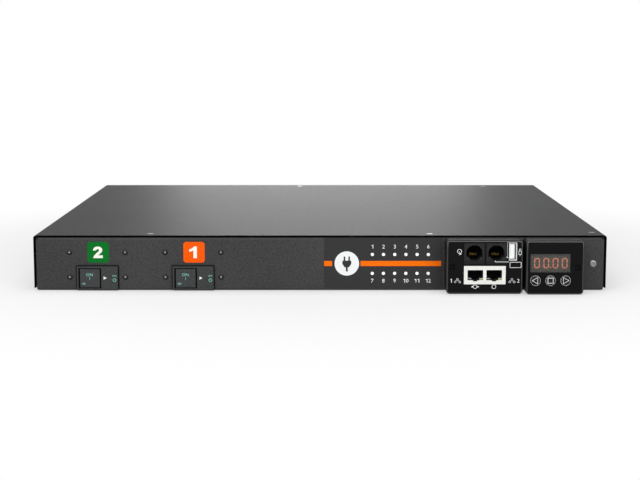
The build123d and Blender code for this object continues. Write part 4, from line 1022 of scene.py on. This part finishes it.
def cover_screw_heads():
    """Countersunk cover screws with a cross recess in each head, and a dark disc of painted shade at the
    floor of each recess.
    """
    meshes, recess_shade = [], []
    recess = spun(cross(CROSS_REACH, CROSS_WIDTH), math.radians(20))
    for low, high in solids_of("cover_screws"):
        x, y, top = (low.x + high.x) / 2, (low.y + high.y) / 2, high.z
        radius = (high.x - low.x) / 2
        shank, floor = radius - COVER_SCREW_TAPER, low.z - top
        rim = radius - COVER_SCREW_EDGE
        stem = [(0, floor), (shank, floor), (shank, -COVER_SCREW_TAPER), (rim, -COVER_SCREW_EDGE),
                (rim, -COVER_SCREW_RECESS)]
        meshes.append(turned(stem, (x, y, top), UPRIGHT))
        head = plate([circle(0, 0, radius, 40), recess], 0, COVER_SCREW_RECESS)
        lie_flat(head, x, y, top - COVER_SCREW_RECESS)
        meshes.append(head)
        # Painted shade: a dark disc under the cross cut stands for the dark floor of the recess.
        bottom = plate([circle(0, 0, 1.6, 24)], 0, COVER_SCREW_FLOOR)
        lie_flat(bottom, x, y, top - COVER_SCREW_RECESS - COVER_SCREW_FLOOR)
        recess_shade.append(bottom)
    made = piece("cover_screw_heads", meshes, SCREW_STEEL, smooth=True)
    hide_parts("cover_screws")
    piece("cover_screw_recess_shade", recess_shade, FINISHES["black_moulding"])


def lie_flat(mesh, x, y, low):
    """Turns an upright plate at Y 0 to lie on a height, with its middle at X and Y, in mm."""
    place = Matrix.Translation((x * MM, y * MM, low * MM))
    mesh.transform(place @ Matrix.Rotation(math.radians(-90), 4, "X"))


def side_screw_head():
    """Domed screw with a hexagon socket at the right of the front."""
    low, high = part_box("side_screw")
    panel = front_of("base_tray")
    centre = ((low.x + high.x) / 2 / MM, panel, (low.z + high.z) / 2 / MM)
    back = high.y / MM - panel
    shank = [(0, back), (SIDE_SCREW_SHANK, back), (SIDE_SCREW_SHANK, 0)]
    head = turned(shank + SIDE_SCREW_DOME, centre)
    socket = turned(SIDE_SCREW_SOCKET, centre, segments=6)
    made = piece("side_screw_head", [head], FINISHES["grey_steel"], smooth=True)
    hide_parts("side_screw")
    piece("side_screw_socket", [socket], SOCKET)


def threaded(radius, depth, pitch, low, high, centre, segments=36, steps=6):
    """Mesh of a screw thread about Y, from one place on the axis to another, in mm."""
    rows = round((high - low) / pitch * steps)
    work = bmesh.new()
    rings = []
    for row in range(rows + 1):
        place = low + (high - low) * row / rows
        rings.append([])
        for index in range(segments):
            phase = (place / pitch + index / segments) % 1
            turn = 2 * math.pi * index / segments
            here = radius - depth * abs(2 * phase - 1)
            rings[-1].append(work.verts.new((here * math.cos(turn), place, here * math.sin(turn))))
    for near, far in zip(rings, rings[1:]):
        for index in range(segments):
            after = (index + 1) % segments
            work.faces.new([near[index], near[after], far[after], far[index]])
    work.faces.new(rings[0])
    work.faces.new(list(reversed(rings[-1])))
    return finished(work, centre)


def earth_stud_thread():
    """The earth stud with its head, its plain neck and its thread."""
    low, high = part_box("earth_stud")
    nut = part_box("earth_nut")[1].y / MM
    x, z = centre_of("earth_stud")
    centre = (x, 0, z)
    start, end = low.y / MM, high.y / MM
    shoulder = start + STUD_HEAD_DEPTH
    thread_start = nut + STUD_NECK_PAST_NUT
    thread_end = end - STUD_TIP
    profile = [(0, start), (STUD_HEAD, start), (STUD_HEAD, shoulder), (STUD_NECK, shoulder),
               (STUD_NECK, thread_start), (0, thread_start)]
    head = turned(profile, centre)
    thread = threaded(THREAD_RADIUS, THREAD_DEPTH, THREAD_PITCH, thread_start, thread_end, centre)
    tip = turned([(2.15, thread_end), (1.75, end), (0, end)], centre)
    made = piece("earth_stud_thread", [head, thread, tip], FINISHES["brass"], smooth=True)
    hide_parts("earth_stud")


def bezel_shade_lines():
    """Painted shade: a thin dark band round each bezel's top and sides, and dark rims round its window and
    paddle, standing for the shade in these gaps.
    """
    panel = front_of("base_tray")
    for number in BREAKERS:
        low, high = (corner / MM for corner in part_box(f"breaker_{number}_bezel"))
        left, right, top, floor = low.x, high.x, high.z, SHADE_BAND_LOW
        # Painted shade where the bezel meets the panel, drawn as a dark band.
        start, end, roof = left - SHADE_BAND_OUT, right + SHADE_BAND_SIDE, top + SHADE_BAND_OUT
        shade_band = [(start, floor), (start, roof), (end, roof), (end, floor), (right, floor), (right, top),
                  (left, top), (left, floor)]
        piece(f"bezel_shade_band_{number}", [plate([shade_band], panel, SHADE_BAND_THICKNESS)], FINISHES["rubber"])
        # Painted shade in the gap round the paddle: a black ring inside the window and a black border on the
        # paddle.
        window = (left + WINDOW[0], WINDOW[1], left + WINDOW[2], WINDOW[3])
        rim = plate([grown(window, WINDOW_SHADE_WIDTH), grown(window, 0)], low.y, INK)
        piece(f"window_shade_ring_{number}", [rim], GAP_SHADE)
        low, high = (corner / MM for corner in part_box(f"breaker_{number}_rocker"))
        paddle = (low.x, low.z, high.x, high.z)
        shade_ring = plate([grown(paddle, 0), grown(paddle, -PADDLE_SHADE_WIDTH)], low.y, INK)
        piece(f"paddle_shade_ring_{number}", [shade_ring], GAP_SHADE, f"rocker_{number}")


def paint_rim_highlights():
    """Painted highlight: a fine light line round each module's label, standing for the light that its rim
    catches.
    """
    for module in ("comm", "display"):
        low, high = (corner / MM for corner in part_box(f"{module}_label"))
        face = front_of(f"{module}_housing")
        out = RIM_HIGHLIGHT_WIDTH
        outer = rounded(low.x - out, low.z - out, high.x + out, high.z + out, LABEL_CORNER + out)
        inner = rounded(low.x, low.z, high.x, high.z, LABEL_CORNER)
        # A thin plate of painted highlight on the housing's face, round the label.
        piece(f"{module}_rim_highlight_line", [plate([outer, inner], face, INK)], RIM_HIGHLIGHT)


def set_camera():
    data = bpy.data.cameras.new("camera")
    data.sensor_width = SENSOR
    data.lens = FOCAL_PIXELS * SENSOR / IMAGE_WIDTH
    camera = bpy.data.objects.new("camera", data)
    scene.collection.objects.link(camera)
    camera.location = CAMERA_PLACE
    aim = Vector((0.0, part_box("base_tray")[0].y, AIM_HEIGHT)) - Vector(CAMERA_PLACE)
    camera.rotation_euler = aim.to_track_quat("-Z", "Y").to_euler()
    scene.camera = camera


def area_light(name, place, aim, width, height, radiance):
    """A soft box whose face has the given radiance, hidden from the camera."""
    data = bpy.data.lights.new(name, "AREA")
    data.shape = "RECTANGLE"
    data.size = width
    data.size_y = height
    data.energy = radiance * math.pi * width * height
    light = bpy.data.objects.new(name, data)
    scene.collection.objects.link(light)
    light.location = place
    light.rotation_euler = (Vector(aim) - Vector(place)).to_track_quat("-Z", "Y").to_euler()
    light.visible_camera = False


def seen_by_eye(tree):
    """1 for rays that show the background, straight from the camera, in a reflection or through glass."""
    path = tree.nodes.new("ShaderNodeLightPath")
    share = path.outputs["Is Camera Ray"]
    for kind in ("Is Glossy Ray", "Is Transmission Ray"):
        either = tree.nodes.new("ShaderNodeMath")
        either.operation = "MAXIMUM"
        tree.links.new(share, either.inputs[0])
        tree.links.new(path.outputs[kind], either.inputs[1])
        share = either.outputs[0]
    return share


def light_studio():
    """An even pale room, with soft boxes above, in front and behind."""
    world = bpy.data.worlds.new("studio")
    scene.world = world
    world.use_nodes = True
    tree = world.node_tree
    background = tree.nodes["Background"]
    background.inputs["Color"].default_value = (1.0, 1.0, 1.0, 1.0)
    level = tree.nodes.new("ShaderNodeMapRange")
    level.inputs["To Min"].default_value = WORLD_LEVEL
    level.inputs["To Max"].default_value = 1.0
    tree.links.new(seen_by_eye(tree), level.inputs["Value"])
    tree.links.new(level.outputs["Result"], background.inputs["Strength"])
    for soft_box in SOFT_BOXES:
        area_light(*soft_box)


def make_floor():
    """A pale floor that keeps the object's shadow and meets the white background without a line."""
    mesh = bpy.data.meshes.new("floor")
    corners = [(x * FLOOR_REACH, y * FLOOR_REACH, 0) for x, y in ((-1, -1), (1, -1), (1, 1), (-1, 1))]
    mesh.from_pydata(corners, [], [(0, 1, 2, 3)])
    floor = bpy.data.objects.new("floor", mesh)
    scene.collection.objects.link(floor)
    floor.location.z = -FLOOR_DROP
    finish = Finish("floor", 0.8, specular=0.1)
    finish.shader.inputs["Base Color"].default_value = (FLOOR_GREY, FLOOR_GREY, FLOOR_GREY, 1.0)
    tree = finish.tree
    distance = finish.add("VectorMath", {0: finish.place}, operation="LENGTH").outputs["Value"]
    inputs = {"Value": distance, "From Min": FLOOR_NEAR, "From Max": FLOOR_FAR,
              "To Min": FLOOR_NEAR_WHITE, "To Max": 1.0}
    far = finish.add("MapRange", inputs, interpolation_type="SMOOTHSTEP").outputs["Result"]
    share = finish.math("MULTIPLY", far, seen_by_eye(tree))
    white = tree.nodes.new("ShaderNodeEmission")
    mixer = tree.nodes.new("ShaderNodeMixShader")
    tree.links.new(share, mixer.inputs[0])
    tree.links.new(finish.shader.outputs[0], mixer.inputs[1])
    tree.links.new(white.outputs[0], mixer.inputs[2])
    tree.links.new(mixer.outputs[0], tree.nodes["Material Output"].inputs["Surface"])
    mesh.materials.append(finish.material)


finish_cad_nodes()
rivet_heads()
cover_screw_heads()
side_screw_head()
earth_stud_thread()
bezel_shade_lines()
paint_rim_highlights()
print_overlay()
print_badges()
print_breakers()
print_comm_label()
print_keys()
light_digits()
set_camera()
light_studio()
make_floor()

scene.view_settings.view_transform = "Standard"
